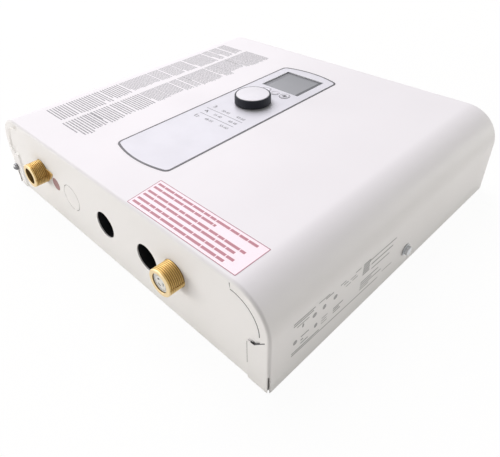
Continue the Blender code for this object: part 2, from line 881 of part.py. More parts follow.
def cover_screw_right():
    """Hexagon head with a washer face, screwed into the chassis flange."""
    face = HALF_WIDTH + SEAT_GAP
    washer = face + SCREW_WASHER_HEIGHT
    screw = rod(SCREW_WASHER_RADIUS, face, washer, "X", (SCREW_Y, SCREW_Z), ROUND_SIDES)
    head = rod(SCREW_HEAD_RADIUS, face + SCREW_WASHER_HEIGHT / 2, washer + SCREW_HEAD_HEIGHT, "X",
               (SCREW_Y, SCREW_Z), 6)
    shank = rod(SCREW_SHANK_RADIUS, face - SCREW_SHANK_LENGTH, face + SCREW_WASHER_HEIGHT / 2, "X",
                (SCREW_Y, SCREW_Z))
    join(screw, head, shank)
    return keep(screw, "cover_screw_right", GREY_STEEL)


def cover_screw_left():
    """Pan-head screw in the bottom end wall, over the slot in the cover's left tab."""
    shank_top = SCREW_SHANK_LENGTH
    head_top = shank_top + LEFT_HEAD_HEIGHT
    profile = [
        (0, head_top - LEFT_SOCKET_DEPTH),
        (LEFT_SOCKET_RADIUS, head_top - LEFT_SOCKET_DEPTH),
        (LEFT_SOCKET_RADIUS, head_top),
        (LEFT_HEAD_RADIUS / 2, head_top),
        (LEFT_HEAD_RADIUS - LEFT_SOCKET_RADIUS / 2, head_top - LEFT_HEAD_HEIGHT / 4),
        (LEFT_HEAD_RADIUS, head_top - LEFT_HEAD_HEIGHT / 2),
        (LEFT_HEAD_RADIUS, shank_top),
        (SCREW_SHANK_RADIUS, shank_top),
        (SCREW_SHANK_RADIUS, 0),
        (0, 0),
    ]
    screw = turned(profile, "Z", (0, 0, 0), SMALL_SIDES, closed=False)
    screw.data.transform(Matrix.Rotation(math.pi / 2, 4, "X"))
    screw.location = (LEFT_SCREW_X, -HALF_HEIGHT - SEAT_GAP + shank_top, LEFT_SCREW_Z)
    return keep(screw, "cover_screw_left", GREY_STEEL)


# Control panel in the cover's front

def panel_outline(inset):
    """The panel's edge about its own centre: straight sides, bowed ends and rounded corners."""
    half_width = PANEL_WIDTH / 2 - inset
    half_length = PANEL_LENGTH / 2 - inset
    corner = PANEL_CORNER - inset
    bow_radius = (half_width ** 2 + PANEL_BOW ** 2) / (2 * PANEL_BOW)
    bow_centre = half_length - bow_radius
    reach = bow_radius - corner
    corner_x = half_width - corner
    corner_y = bow_centre + math.sqrt(reach ** 2 - corner_x ** 2)
    meet = math.atan2(corner_y - bow_centre, corner_x)
    top = arc((corner_x, corner_y), corner, 0, meet, ARC_STEPS // 2)
    top += arc((0, bow_centre), bow_radius, meet, math.pi / 2, ARC_STEPS // 2)[1:]
    quarter = top + [(-x, y) for x, y in reversed(top[:-1])]
    return quarter + [(-x, -y) for x, y in quarter]


def from_panel(x, y):
    return (x - PANEL_X, y - PANEL_Y)


def panel_holes():
    holes = [
        rectangle(from_panel(DISPLAY_X, DISPLAY_Y), DISPLAY_WIDTH, DISPLAY_LENGTH),
        circle(from_panel(KNOB_X, KNOB_Y), SHAFT_RADIUS + SHAFT_CLEARANCE, SMALL_SIDES),
    ]
    for x in KEY_X:
        holes.append(circle(from_panel(x, KEY_Y), KEY_RADIUS + KEY_CLEARANCE, KEY_SIDES))
    return holes


def board_corners():
    """The four screw places that tie the control board to the panel."""
    middle = PANEL_X
    out = CONTROL_BOARD_WIDTH / 2 - POST_MARGIN
    for x in (middle - out, middle + out):
        for y in (CONTROL_BOARD_BOTTOM + POST_MARGIN, CONTROL_BOARD_TOP - POST_MARGIN):
            yield x, y


def control_panel():
    """The moulded panel: a face in the cover's opening, a flange behind it and four posts."""
    top = CASE_DEPTH + PANEL_PROUD
    flange_top = FRONT_REAR - SEAT_GAP
    face = plate([panel_outline(PANEL_GAP)] + panel_holes(), top - flange_top + SEAT_GAP)
    face.location = (PANEL_X, PANEL_Y, (top + flange_top - SEAT_GAP) / 2)
    flange = plate([panel_outline(-PANEL_FLANGE)] + panel_holes(), PANEL_FLANGE_THICK)
    flange.location = (PANEL_X, PANEL_Y, flange_top - PANEL_FLANGE_THICK / 2)
    join(face, flange)
    post_foot = CONTROL_BOARD_Z + SEAT_GAP
    for x, y in board_corners():
        join(face, rod(POST_RADIUS, post_foot, flange_top - PANEL_FLANGE_THICK / 2, "Z", (x, y)))
    return keep(face, "control_panel", LIGHT_PLASTIC)


def display_glass():
    width = DISPLAY_WIDTH - 2 * GLASS_GAP
    length = DISPLAY_LENGTH - 2 * GLASS_GAP
    z = CASE_DEPTH + PANEL_PROUD - GLASS_DEPTH - GLASS_THICK / 2
    glass = block((width, length, GLASS_THICK), (DISPLAY_X, DISPLAY_Y, z))
    return keep(glass, "display_glass", DISPLAY_GREY)


def display_module():
    """The liquid crystal display behind the window, on two feet on the control board."""
    top = FRONT_REAR - SEAT_GAP - PANEL_FLANGE_THICK - SEAT_GAP
    width = DISPLAY_WIDTH - 2 * MODULE_MARGIN
    length = DISPLAY_LENGTH - 2 * MODULE_MARGIN
    low = (DISPLAY_X - width / 2, DISPLAY_Y - length / 2, CONTROL_BOARD_Z + SEAT_GAP)
    high = (DISPLAY_X + width / 2, DISPLAY_Y + length / 2, top)
    module = block_between(low, high)
    tunnel_top = top - MODULE_THICK
    tunnel_low = (low[0] + MODULE_MARGIN, low[1] - CUT_OVERRUN, low[2] - CUT_OVERRUN)
    tunnel_high = (high[0] - MODULE_MARGIN, high[1] + CUT_OVERRUN, tunnel_top)
    cut(module, block_between(tunnel_low, tunnel_high))
    lift = CASE_DEPTH + PANEL_PROUD - GLASS_DEPTH - GLASS_THICK - SEAT_GAP
    pad_low = (low[0] + SHEET, low[1] + SHEET, top - SHEET)
    pad_high = (high[0] - SHEET, high[1] - SHEET, lift)
    join(module, block_between(pad_low, pad_high))
    return keep(module, "display_module", GREY_PLASTIC)


def control_board():
    low = (PANEL_X - CONTROL_BOARD_WIDTH / 2, CONTROL_BOARD_BOTTOM, CONTROL_BOARD_Z - BOARD_THICK)
    high = (PANEL_X + CONTROL_BOARD_WIDTH / 2, CONTROL_BOARD_TOP, CONTROL_BOARD_Z)
    board = block_between(low, high)
    for x in KEY_X:
        centre = (x, KEY_Y, CONTROL_BOARD_Z + SWITCH_HEIGHT / 2 - BOARD_THICK / 4)
        join(board, block((SWITCH_SIZE, SWITCH_SIZE, SWITCH_HEIGHT + BOARD_THICK / 2), centre))
    return keep(board, "control_board", BOARD_GREEN)


def key(number, x):
    """A round key cap with a flange that keeps it behind the panel, and a stem on its switch."""
    top = CASE_DEPTH + PANEL_PROUD + KEY_PROUD
    flange_top = FRONT_REAR - SEAT_GAP - PANEL_FLANGE_THICK - SEAT_GAP
    stem_foot = CONTROL_BOARD_Z + SWITCH_HEIGHT + KEY_TRAVEL + SEAT_GAP
    profile = [
        (0, top - KEY_DISH),
        (KEY_RADIUS / 2, top - KEY_DISH),
        (KEY_RADIUS - KEY_DISH, top),
        (KEY_RADIUS, top - KEY_DISH),
        (KEY_RADIUS, flange_top),
        (KEY_FLANGE, flange_top),
        (KEY_FLANGE, flange_top - KEY_FLANGE_THICK),
        (KEY_STEM, flange_top - KEY_FLANGE_THICK),
        (KEY_STEM, stem_foot),
        (0, stem_foot),
    ]
    lowered = [(radius, z - CASE_DEPTH) for radius, z in profile]
    cap = turned(lowered, "Z", (x, KEY_Y, CASE_DEPTH), KEY_SIDES, closed=False)
    return keep(cap, f"key_{number}", LIGHT_PLASTIC)


def knob():
    """A dark turned knob, hollow below, with a bored boss for the shaft and a seat for its cap."""
    height = KNOB_HEIGHT
    seat = height - CAP_THICK
    bore = SHAFT_RADIUS + SHAFT_CLEARANCE
    bore_top = SHAFT_TOP + SEAT_GAP
    profile = [
        (0, seat),
        (CAP_RADIUS, seat),
        (CAP_RADIUS, height),
        (KNOB_RADIUS - KNOB_TAPER - KNOB_ROUND, height),
        (KNOB_RADIUS - KNOB_TAPER, height - KNOB_ROUND),
        (KNOB_RADIUS, KNOB_ROUND),
        (KNOB_RADIUS - KNOB_ROUND, 0),
        (KNOB_RADIUS - KNOB_SKIRT, 0),
        (KNOB_RADIUS - KNOB_SKIRT, KNOB_HOLLOW),
        (KNOB_BOSS, KNOB_HOLLOW),
        (KNOB_BOSS, 0),
        (bore, 0),
        (bore, bore_top),
        (0, bore_top),
    ]
    body = turned(profile, "Z", (KNOB_X, KNOB_Y, KNOB_BASE), KNOB_SIDES, closed=False)
    return keep(body, "knob", DARK_PLASTIC)


def knob_cap():
    radius = CAP_RADIUS - CAP_GAP
    low = KNOB_HEIGHT - CAP_THICK + SEAT_GAP
    edge = KNOB_HEIGHT + CAP_GAP
    profile = [
        (0, edge + CAP_CROWN),
        (radius / 2, edge + CAP_CROWN),
        (radius - CAP_CROWN, edge),
        (radius, edge - CAP_CROWN),
        (radius, low),
        (0, low),
    ]
    cap = turned(profile, "Z", (KNOB_X, KNOB_Y, KNOB_BASE), KNOB_SIDES, closed=False)
    return keep(cap, "knob_cap", LIGHT_PLASTIC)


def encoder_shaft():
    low = CONTROL_BOARD_Z + SEAT_GAP + ENCODER_HEIGHT - ENCODER_DEPTH + SEAT_GAP
    shaft = rod(SHAFT_RADIUS, low - KNOB_BASE, SHAFT_TOP, "Z", (0, 0))
    shaft.location = (KNOB_X, KNOB_Y, KNOB_BASE + (low - KNOB_BASE + SHAFT_TOP) / 2)
    return keep(shaft, "encoder_shaft", GREY_STEEL)


def encoder_body():
    low_z = CONTROL_BOARD_Z + SEAT_GAP
    half = ENCODER_SIZE / 2
    high_z = low_z + ENCODER_HEIGHT
    body = block_between((KNOB_X - half, KNOB_Y - half, low_z), (KNOB_X + half, KNOB_Y + half, high_z))
    radius = SHAFT_RADIUS + SHAFT_CLEARANCE
    cut(body, rod(radius, high_z - ENCODER_DEPTH, high_z + CUT_OVERRUN, "Z", (KNOB_X, KNOB_Y)))
    return keep(body, "encoder_body", GREY_PLASTIC)


# Water fittings and inlet

def water_fitting(name, x, z):
    """A male fitting: chamfered thread, shoulder behind the end wall, and a tail for the pipe."""
    tip = FITTING_TIP
    shoulder = -END_FACE + SHEET + SEAT_GAP
    mouth = FITTING_BORE + THREAD_CHAMFER / 2
    profile = [
        (TAIL_RADIUS, TAIL_END),
        (TAIL_RADIUS, shoulder + SHOULDER_LENGTH),
        (SHOULDER_RADIUS, shoulder + SHOULDER_LENGTH),
        (SHOULDER_RADIUS, shoulder),
        (THREAD_RADIUS, shoulder),
        (THREAD_RADIUS, tip + THREAD_CHAMFER),
        (THREAD_RADIUS - THREAD_CHAMFER, tip),
        (mouth, tip),
        (FITTING_BORE, tip + THREAD_CHAMFER / 2),
        (FITTING_BORE, TAIL_END),
    ]
    fitting = turned(profile, "Y", (x, 0, z))
    return keep(fitting, name, BRASS)


def bracket_outline(x, z):
    width = BRACKET_WIDTH / 2
    crown = arc((x, z), width, 0, math.pi)
    low_z = FLOOR_Z + BRACKET_SHEET / 2
    return [(x - width, low_z), (x + width, low_z)] + crown


def fitting_bracket(name, x, z):
    """A standing plate that holds a fitting's tail, with a foot on the back panel."""
    hole = circle((x, z), TAIL_RADIUS + BRACKET_CLEARANCE)
    low_y = BRACKET_Y
    high_y = BRACKET_Y + BRACKET_SHEET
    bracket = standing_plate([bracket_outline(x, z), hole], low_y, high_y)
    half = BRACKET_WIDTH / 2 - BRACKET_FOOT_INSET
    foot_low = (x - half, low_y + BRACKET_SHEET / 2, FLOOR_Z)
    foot_high = (x + half, high_y + BRACKET_FOOT, FLOOR_Z + BRACKET_SHEET)
    join(bracket, block_between(foot_low, foot_high))
    return keep(bracket, name, GREY_STEEL)


def inlet_filter():
    """The strainer in the cold inlet: a slotted face with a ring groove, and a skirt in the bore."""
    face = FITTING_TIP + FILTER_RECESS
    end = face + FILTER_LENGTH
    inner = FILTER_RADIUS - FILTER_WALL
    groove_out = FILTER_GROOVE_RADIUS + FILTER_GROOVE_WIDTH
    profile = [
        (inner, end),
        (FILTER_RADIUS, end),
        (FILTER_RADIUS, face),
        (groove_out, face),
        (groove_out, face + FILTER_FACE / 2),
        (FILTER_GROOVE_RADIUS, face + FILTER_FACE / 2),
        (FILTER_GROOVE_RADIUS, face),
        (0, face),
        (0, face + FILTER_FACE),
        (inner, face + FILTER_FACE),
    ]
    strainer = turned(profile, "Y", (COLD_X, 0, COLD_Z), closed=True)
    for number in range(FILTER_SLOTS):
        turn = 2 * math.pi * number / FILTER_SLOTS
        slot = block((FILTER_SLOT_LENGTH, 2 * FILTER_FACE + CUT_OVERRUN, FILTER_SLOT_WIDTH), (0, 0, 0))
        slot.data.transform(Matrix.Rotation(turn + math.pi / 2, 4, "Y"))
        reach = FILTER_SLOT_RADIUS
        across = reach * math.cos(turn)
        up = -reach * math.sin(turn)
        slot.location = (COLD_X + across, face + FILTER_FACE / 2, COLD_Z + up)
        cut(strainer, slot)
    return keep(strainer, "inlet_filter", LIGHT_PLASTIC)


def cable_guide(number, x):
    """The black sleeve behind a cable hole."""
    near = -END_FACE + SHEET + SEAT_GAP
    inner = HOLE_RADIUS + COVER_GAP
    outer = inner + GUIDE_WALL
    profile = [
        (outer, near + GUIDE_LENGTH),
        (outer, near + GUIDE_FLANGE_THICK),
        (GUIDE_FLANGE, near + GUIDE_FLANGE_THICK),
        (GUIDE_FLANGE, near),
        (inner, near),
        (inner, near + GUIDE_LENGTH),
    ]
    guide = turned(profile, "Y", (x, 0, HOLE_Z))
    return keep(guide, f"cable_guide_{number}", BLACK_PLASTIC)


def flow_sensor_body():
    """The tube round the turbine, with end collars and a three-armed spider that carries the pin."""
    start = TAIL_END + SEAT_GAP
    profile = [
        (SENSOR_COLLAR_RADIUS, SENSOR_END),
        (SENSOR_COLLAR_RADIUS, SENSOR_END - SENSOR_COLLAR),
        (SENSOR_RADIUS, SENSOR_END - SENSOR_COLLAR),
        (SENSOR_RADIUS, start + SENSOR_COLLAR),
        (SENSOR_COLLAR_RADIUS, start + SENSOR_COLLAR),
        (SENSOR_COLLAR_RADIUS, start),
        (SENSOR_BORE, start),
        (SENSOR_BORE, SENSOR_END),
    ]
    body = turned(profile, "Y", (COLD_X, 0, COLD_Z))
    reach = (SENSOR_BORE + SENSOR_RADIUS) / 2
    for number in range(SPIDER_ARMS):
        arm = block((SPIDER_ARM, SPIDER_THICK, reach), (0, 0, 0))
        arm.data.transform(Matrix.Translation((0, 0, reach / 2)))
        arm.data.transform(Matrix.Rotation(2 * math.pi * number / SPIDER_ARMS, 4, "Y"))
        arm.location = (COLD_X, SPIDER_Y, COLD_Z)
        join(body, arm)
    join(body, rod(PIN_RADIUS, SPIDER_Y - PIN_LENGTH, SPIDER_Y + SPIDER_THICK / 2, "Y", (COLD_X, COLD_Z)))
    return keep(body, "flow_sensor_body", BLACK_PLASTIC)


def turbine_blade(number):
    """One twisted blade, lofted through turned sections along the rotor's axis."""
    mesh = bpy.data.meshes.new("blade")
    work = bmesh.new()
    rings = []
    for section in range(BLADE_SECTIONS + 1):
        share = section / BLADE_SECTIONS
        turn = 2 * math.pi * number / BLADES + BLADE_TWIST * share
        y = ROTOR_LENGTH * (share - 0.5)
        ring = []
        for across, out in ((-1, 0), (1, 0), (1, 1), (-1, 1)):
            reach = ROTOR_TIP if out else (ROTOR_HUB + PIN_RADIUS) / 2 + ROTOR_CLEARANCE
            side = across * BLADE_THICK / 2
            x = reach * math.cos(turn) - side * math.sin(turn)
            z = reach * math.sin(turn) + side * math.cos(turn)
            ring.append(work.verts.new((x, y, z)))
        rings.append(ring)
    for low, high in zip(rings, rings[1:]):
        for i in range(4):
            j = (i + 1) % 4
            work.faces.new((low[i], low[j], high[j], high[i]))
    work.faces.new(rings[0][::-1])
    work.faces.new(rings[-1])
    bmesh.ops.recalc_face_normals(work, faces=work.faces)
    work.to_mesh(mesh)
    work.free()
    blade = linked("blade", mesh)
    blade.location = (COLD_X, ROTOR_Y, COLD_Z)
    return blade


def turbine_rotor():
    half = ROTOR_LENGTH / 2
    bore = PIN_RADIUS + ROTOR_CLEARANCE
    hub_profile = [(ROTOR_HUB, half), (ROTOR_HUB, -half), (bore, -half), (bore, half)]
    rotor = turned(hub_profile, "Y", (COLD_X, ROTOR_Y, COLD_Z), SMALL_SIDES)
    for number in range(BLADES):
        join(rotor, turbine_blade(number))
    return keep(rotor, "turbine_rotor", LIGHT_PLASTIC)


def flow_valve_body():
    body = block((VALVE_WIDTH, VALVE_LENGTH, VALVE_HEIGHT), (COLD_X, VALVE_Y, COLD_Z))
    bevelled(body, VALVE_BEVEL)
    reach = VALVE_LENGTH / 2 + CUT_OVERRUN
    cut(body, rod(VALVE_BORE, VALVE_Y - reach, VALVE_Y + reach, "Y", (COLD_X, COLD_Z), ROUND_SIDES))
    bore = SPINDLE_RADIUS + SPINDLE_CLEARANCE
    cut(body, rod(bore, VALVE_TOP - SPINDLE_DEPTH, VALVE_TOP + CUT_OVERRUN, "Z", (COLD_X, VALVE_Y)))
    return keep(body, "flow_valve_body", BRASS)


def valve_spindle():
    """A quarter-turn spindle with a cross hole that meets the body's bore when open."""
    low = VALVE_TOP - SPINDLE_DEPTH + SEAT_GAP
    high = VALVE_TOP + SPINDLE_RISE
    spindle = rod(SPINDLE_RADIUS, low, high, "Z", (COLD_X, VALVE_Y))
    reach = SPINDLE_RADIUS + CUT_OVERRUN
    cut(spindle, rod(SPINDLE_PORT, VALVE_Y - reach, VALVE_Y + reach, "Y", (COLD_X, COLD_Z)))
    return keep(spindle, "valve_spindle", GREY_STEEL)


def valve_motor():
    """The small motor on the valve, with a socket underneath for the spindle."""
    bore = SPINDLE_RADIUS + SPINDLE_CLEARANCE
    profile = [
        (0, MOTOR_HEIGHT),
        (MOTOR_RADIUS - MOTOR_CROWN, MOTOR_HEIGHT),
        (MOTOR_RADIUS, MOTOR_HEIGHT - MOTOR_CROWN),
        (MOTOR_RADIUS, 0),
        (bore, 0),
        (bore, MOTOR_SOCKET),
        (0, MOTOR_SOCKET),
    ]
    motor = turned(profile, "Z", (COLD_X, VALVE_Y, VALVE_TOP + SEAT_GAP), closed=False)
    return keep(motor, "valve_motor", GREY_STEEL)


def inlet_pipe():
    """From the valve, across under the cooling block, and up into the last can."""
    last = CYLINDER_X[-1]
    corners = [
        (COLD_X, VALVE_Y + VALVE_LENGTH / 2 + SEAT_GAP, COLD_Z),
        (COLD_X, INLET_RUN_Y, COLD_Z),
        (last, INLET_RUN_Y, COLD_Z),
        (last, CYLINDER_BOTTOM - STUB_LENGTH - SEAT_GAP, COLD_Z),
    ]
    return keep(tube(rounded_route(corners, PIPE_BEND), PIPE_RADIUS, 2), "inlet_pipe", COPPER)


# Heater cylinders

def port_cutter(x, y, reach):
    return rod(PORT_RADIUS, x - reach, x + reach, "X", (y, CYLINDER_Z))


def heater_cylinder(number, x):
    """A copper can, open at the top for its element, with a domed foot and side ports."""
    wall = CYLINDER_WALL
    outer = CYLINDER_RADIUS
    foot = CYLINDER_BOTTOM
    if number == len(CYLINDER_X):
        end = [
            (STUB_RADIUS, foot),
            (STUB_RADIUS, foot - STUB_LENGTH),
            (STUB_BORE, foot - STUB_LENGTH),
            (STUB_BORE, foot + wall),
        ]
    else:
        end = [(STUB_RADIUS, foot), (0, foot), (0, foot + wall), (STUB_BORE, foot + wall)]
    profile = [
        (outer, CYLINDER_TOP),
        (outer, foot + DOME_RISE),
        ((outer + STUB_RADIUS) / 2 + wall, foot + DOME_RISE / 3),
        *end,
        ((outer + STUB_RADIUS) / 2, foot + DOME_RISE / 3 + wall),
        (outer - wall, foot + DOME_RISE + wall),
        (outer - wall, CYLINDER_TOP),
    ]
    can = turned(profile, "Y", (x, 0, CYLINDER_Z))
    middle = len(CYLINDER_X) - 1
    reach = outer + CUT_OVERRUN
    if number >= middle:
        side = 1 if number == middle else -1
        cut(can, port_cutter(x + side * outer, PORT_TOP_Y, 2 * CUT_OVERRUN))
    if number <= middle:
        side = 1 if number < middle else -1
        cut(can, port_cutter(x + side * outer, PORT_BOTTOM_Y, 2 * CUT_OVERRUN))
    if number == 1:
        cut(can, port_cutter(x - outer, PORT_TOP_Y, reach - outer + CUT_OVERRUN))
    return keep(can, f"heater_cylinder_{number}", COPPER)


def heating_element(number, x):
    """The screwed head that closes a can, its two terminals and the sheathed element inside."""
    base = CYLINDER_TOP + SEAT_GAP
    head = rod(CYLINDER_RADIUS, base, base + HEAD_DISC, "Y", (x, CYLINDER_Z), ROUND_SIDES)
    top = base + HEAD_DISC + HEAD_HEX
    join(head, rod(HEAD_HEX_RADIUS, base + HEAD_DISC / 2, top, "Y", (x, CYLINDER_Z), 6))
    for side in (-1, 1):
        place = (x + side * ELEMENT_SPREAD, CYLINDER_Z)
        tip = top + TERMINAL_LENGTH
        join(head, rod(TERMINAL_RADIUS, top - HEAD_HEX / 2, tip, "Y", place, SMALL_SIDES // 2))
    low = base - ELEMENT_REACH
    start = base + HEAD_DISC / 2
    corners = [
        (x - ELEMENT_SPREAD, start, CYLINDER_Z),
        (x - ELEMENT_SPREAD, low, CYLINDER_Z),
        (x + ELEMENT_SPREAD, low, CYLINDER_Z),
        (x + ELEMENT_SPREAD, start, CYLINDER_Z),
    ]
    join(head, tube(rounded_route(corners, ELEMENT_SPREAD - ELEMENT_RADIUS / 2), ELEMENT_RADIUS, 1))
    return keep(head, f"heating_element_{number}", BRASS)


def crossover_pipe(name, left_x, right_x, y):
    """The short pipe from one can to the next."""
    low = left_x + CYLINDER_RADIUS + SEAT_GAP
    high = right_x - CYLINDER_RADIUS - SEAT_GAP
    middle = (low + high) / 2
    half = (high - low) / 2
    profile = [(PIPE_RADIUS, half), (PIPE_RADIUS, -half), (PORT_RADIUS, -half), (PORT_RADIUS, half)]
    pipe = turned(profile, "X", (middle, y, CYLINDER_Z))
    return keep(pipe, name, COPPER)


def outlet_pipe():
    first = CYLINDER_X[0] - CYLINDER_RADIUS - SEAT_GAP
    corners = [
        (first, PORT_TOP_Y, CYLINDER_Z),
        (OUTLET_X, PORT_TOP_Y, CYLINDER_Z),
        (OUTLET_X, OUTLET_TURN_Y, HOT_Z),
        (HOT_X, OUTLET_TURN_Y, HOT_Z),
        (HOT_X, TAIL_END + SEAT_GAP, HOT_Z),
    ]
    return keep(tube(rounded_route(corners, OUTLET_BEND), PIPE_RADIUS, 2), "outlet_pipe", COPPER)


def cylinder_bracket(name, y):
    """A standing plate with a round seat for each can and a foot on the back panel."""
    low_x = CYLINDER_X[0] - CYLINDER_RADIUS - SADDLE_MARGIN
    high_x = CYLINDER_X[-1] + CYLINDER_RADIUS + SADDLE_MARGIN
    foot_z = FLOOR_Z + RIB_RISE
    low = (low_x, y, foot_z + SADDLE_SHEET / 2)
    saddle = block_between(low, (high_x, y + SADDLE_SHEET, FLOOR_Z + SADDLE_HEIGHT))
    foot_low = (low_x + SADDLE_SHEET, y + SADDLE_SHEET / 2, foot_z)
    foot_high = (high_x - SADDLE_SHEET, y + SADDLE_FOOT, foot_z + SADDLE_SHEET)
    join(saddle, block_between(foot_low, foot_high))
    for x in CYLINDER_X:
        cut(saddle, rod(CYLINDER_RADIUS + SEAT_GAP, y - CUT_OVERRUN, y + SADDLE_FOOT + CUT_OVERRUN, "Y",
                        (x, CYLINDER_Z), 2 * ROUND_SIDES))
    return keep(saddle, name, GREY_STEEL)


# Safety limiter and sensor

def safety_limiter():
    x = CYLINDER_X[1]
    base = CYLINDER_Z + CYLINDER_RADIUS + SEAT_GAP
    top = base + LIMITER_HEIGHT
    size = (LIMITER_WIDTH, LIMITER_LENGTH, LIMITER_HEIGHT)
    body = block(size, (x, LIMITER_Y, (base + top) / 2))
    hole_foot = top - BUTTON_DEPTH - BUTTON_TRAVEL - SEAT_GAP
    cut(body, rod(BUTTON_HOLE, hole_foot, top + CUT_OVERRUN, "Z", (x, LIMITER_Y)))
    return keep(body, "safety_limiter", BLACK_PLASTIC)


def reset_button():
    top = CYLINDER_Z + CYLINDER_RADIUS + SEAT_GAP + LIMITER_HEIGHT
    button = rod(BUTTON_RADIUS, top - BUTTON_DEPTH, top + BUTTON_RISE, "Z", (CYLINDER_X[1], LIMITER_Y))
    return keep(button, "reset_button", RED_PLASTIC)


def outlet_z_at(y):
    """The outlet pipe's height where it runs down the left side."""
    share = (PORT_TOP_Y - y) / (PORT_TOP_Y - OUTLET_TURN_Y)
    return CYLINDER_Z + (HOT_Z - CYLINDER_Z) * share


def outlet_temperature_sensor():
    base = outlet_z_at(PROBE_Y) + PIPE_RADIUS + 2 * SEAT_GAP
    profile = [
        (0, PROBE_LENGTH),
        (PROBE_RADIUS / 2, PROBE_LENGTH),
        (PROBE_RADIUS / 2, PROBE_LENGTH / 2),
        (PROBE_RADIUS, PROBE_LENGTH / 2),
        (PROBE_RADIUS, 0),
        (0, 0),
    ]
    probe = turned(profile, "Z", (OUTLET_X, PROBE_Y, base), SMALL_SIDES, closed=False)
    return keep(probe, "outlet_temperature_sensor", BRASS)


# Triac cooling block on the inlet pipe

def cooling_block():
    low = (BLOCK_X - BLOCK_LENGTH / 2, INLET_RUN_Y - BLOCK_DEPTH / 2, COLD_Z - BLOCK_HEIGHT / 2)
    high = (BLOCK_X + BLOCK_LENGTH / 2, INLET_RUN_Y + BLOCK_DEPTH / 2, COLD_Z + BLOCK_HEIGHT / 2)
    body = block_between(low, high)
    cut(body, rod(PIPE_RADIUS + SEAT_GAP, low[0] - CUT_OVERRUN, high[0] + CUT_OVERRUN, "X",
                  (INLET_RUN_Y, COLD_Z), 2 * SMALL_SIDES))
    for side in (-1, 1):
        face = INLET_RUN_Y + side * BLOCK_DEPTH / 2
        for number in range(BLOCK_GROOVES):
            z = low[2] + (number + 1) * BLOCK_HEIGHT / (BLOCK_GROOVES + 1)
            size = (BLOCK_LENGTH + 2 * CUT_OVERRUN, 2 * BLOCK_GROOVE_DEPTH, BLOCK_GROOVE_WIDTH)
            cut(body, block(size, (BLOCK_X, face, z)))
    return keep(body, "cooling_block", ALUMINIUM)


def triac(number):
    x = BLOCK_X + (number - 2) * TRIAC_PITCH
    base = COLD_Z + BLOCK_HEIGHT / 2 + SEAT_GAP
    centre = (x, INLET_RUN_Y, base + TRIAC_HEIGHT / 2)
    body = block((TRIAC_WIDTH, TRIAC_LENGTH, TRIAC_HEIGHT), centre)
    hole_y = INLET_RUN_Y + TRIAC_LENGTH / 3
    cut(body, rod(TRIAC_HOLE, base - CUT_OVERRUN, base + TRIAC_HEIGHT + CUT_OVERRUN, "Z", (x, hole_y)))
    return keep(body, f"triac_{number}", BLACK_PLASTIC)


# Main board

def board_posts():
    for x in (BOARD_X - BOARD_WIDTH / 2 + POST_INSET, BOARD_X + BOARD_WIDTH / 2 - POST_INSET):
        for y in (BOARD_Y - BOARD_LENGTH / 2 + POST_INSET, BOARD_Y + BOARD_LENGTH / 2 - POST_INSET):
            yield x, y


def board_carrier():
    """The moulded tray on the back panel, with a post under each corner of the board."""
    base = FLOOR_Z + RIB_RISE
    tray = block(
        (BOARD_WIDTH + 2 * CARRIER_MARGIN, BOARD_LENGTH + 2 * CARRIER_MARGIN, CARRIER_THICK),
        (BOARD_X, BOARD_Y, base + CARRIER_THICK / 2),
    )
    for x, y in board_posts():
        join(tray, rod(CARRIER_POST_RADIUS, base + CARRIER_THICK / 2, BOARD_Z - SEAT_GAP, "Z", (x, y)))
    return keep(tray, "board_carrier", GREY_PLASTIC)


def main_board():
    """The power board, with its relays and capacitors soldered on."""
    board = block((BOARD_WIDTH, BOARD_LENGTH, BOARD_THICK), (BOARD_X, BOARD_Y, BOARD_Z + BOARD_THICK / 2))
    right = BOARD_X + BOARD_WIDTH / 2
    low = BOARD_Y - BOARD_LENGTH / 2
    width, length, height = RELAY_SIZE
    for number in range(RELAYS):
        centre = (
            right - RELAY_INSET - number * RELAY_PITCH,
            low + RELAY_INSET,
            BOARD_TOP + height / 2 - BOARD_THICK / 2,
        )
        join(board, block((width, length, height), centre))
    for number in range(CAPACITORS):
        place = (right - CAPACITOR_INSET - number * CAPACITOR_PITCH, BOARD_Y)
        top = BOARD_TOP + CAPACITOR_HEIGHT
        join(board, rod(CAPACITOR_RADIUS, BOARD_TOP - BOARD_THICK / 2, top, "Z", place))
    return keep(board, "main_board", BOARD_GREEN)


def transformer():
    """A laminated core with its winding standing out on two sides."""
    x = BOARD_X + BOARD_WIDTH / 2 - TRANSFORMER_INSET
    y = BOARD_Y + BOARD_LENGTH / 2 - TRANSFORMER_INSET
    base = BOARD_TOP + SEAT_GAP
    core = block(TRANSFORMER_SIZE, (x, y, base + TRANSFORMER_SIZE[2] / 2))
    join(core, block(TRANSFORMER_COIL, (x, y, base + TRANSFORMER_SIZE[2] / 2)))
    return keep(core, "transformer", GREY_STEEL)


def control_socket():
    base = BOARD_TOP + SEAT_GAP
    width, length, height = SOCKET_SIZE
    socket = block((width, length, height), (SOCKET_X, SOCKET_Y, base + height / 2))
    hollow = (width - 2 * SOCKET_WALL, length - 2 * SOCKET_WALL, height)
    cut(socket, block(hollow, (SOCKET_X, SOCKET_Y, base + height / 2 + SOCKET_WALL)))
    return keep(socket, "control_socket", LIGHT_PLASTIC)


def control_plug():
    """The plug on the control lead. It pulls straight out when the cover comes off."""
    width, length, height = SOCKET_SIZE
    top = BOARD_TOP + SEAT_GAP + height
    body_z = top + SEAT_GAP + PLUG_HEIGHT / 2
    plug = block((width, length, PLUG_HEIGHT), (SOCKET_X, SOCKET_Y, body_z))
    inset = 2 * (SOCKET_WALL + SEAT_GAP)
    tongue_low = (SOCKET_X - (width - inset) / 2, SOCKET_Y - (length - inset) / 2, top - PLUG_TONGUE)
    tongue_high = (SOCKET_X + (width - inset) / 2, SOCKET_Y + (length - inset) / 2, body_z)
    join(plug, block_between(tongue_low, tongue_high))
    return keep(plug, "control_plug", BLACK_PLASTIC)


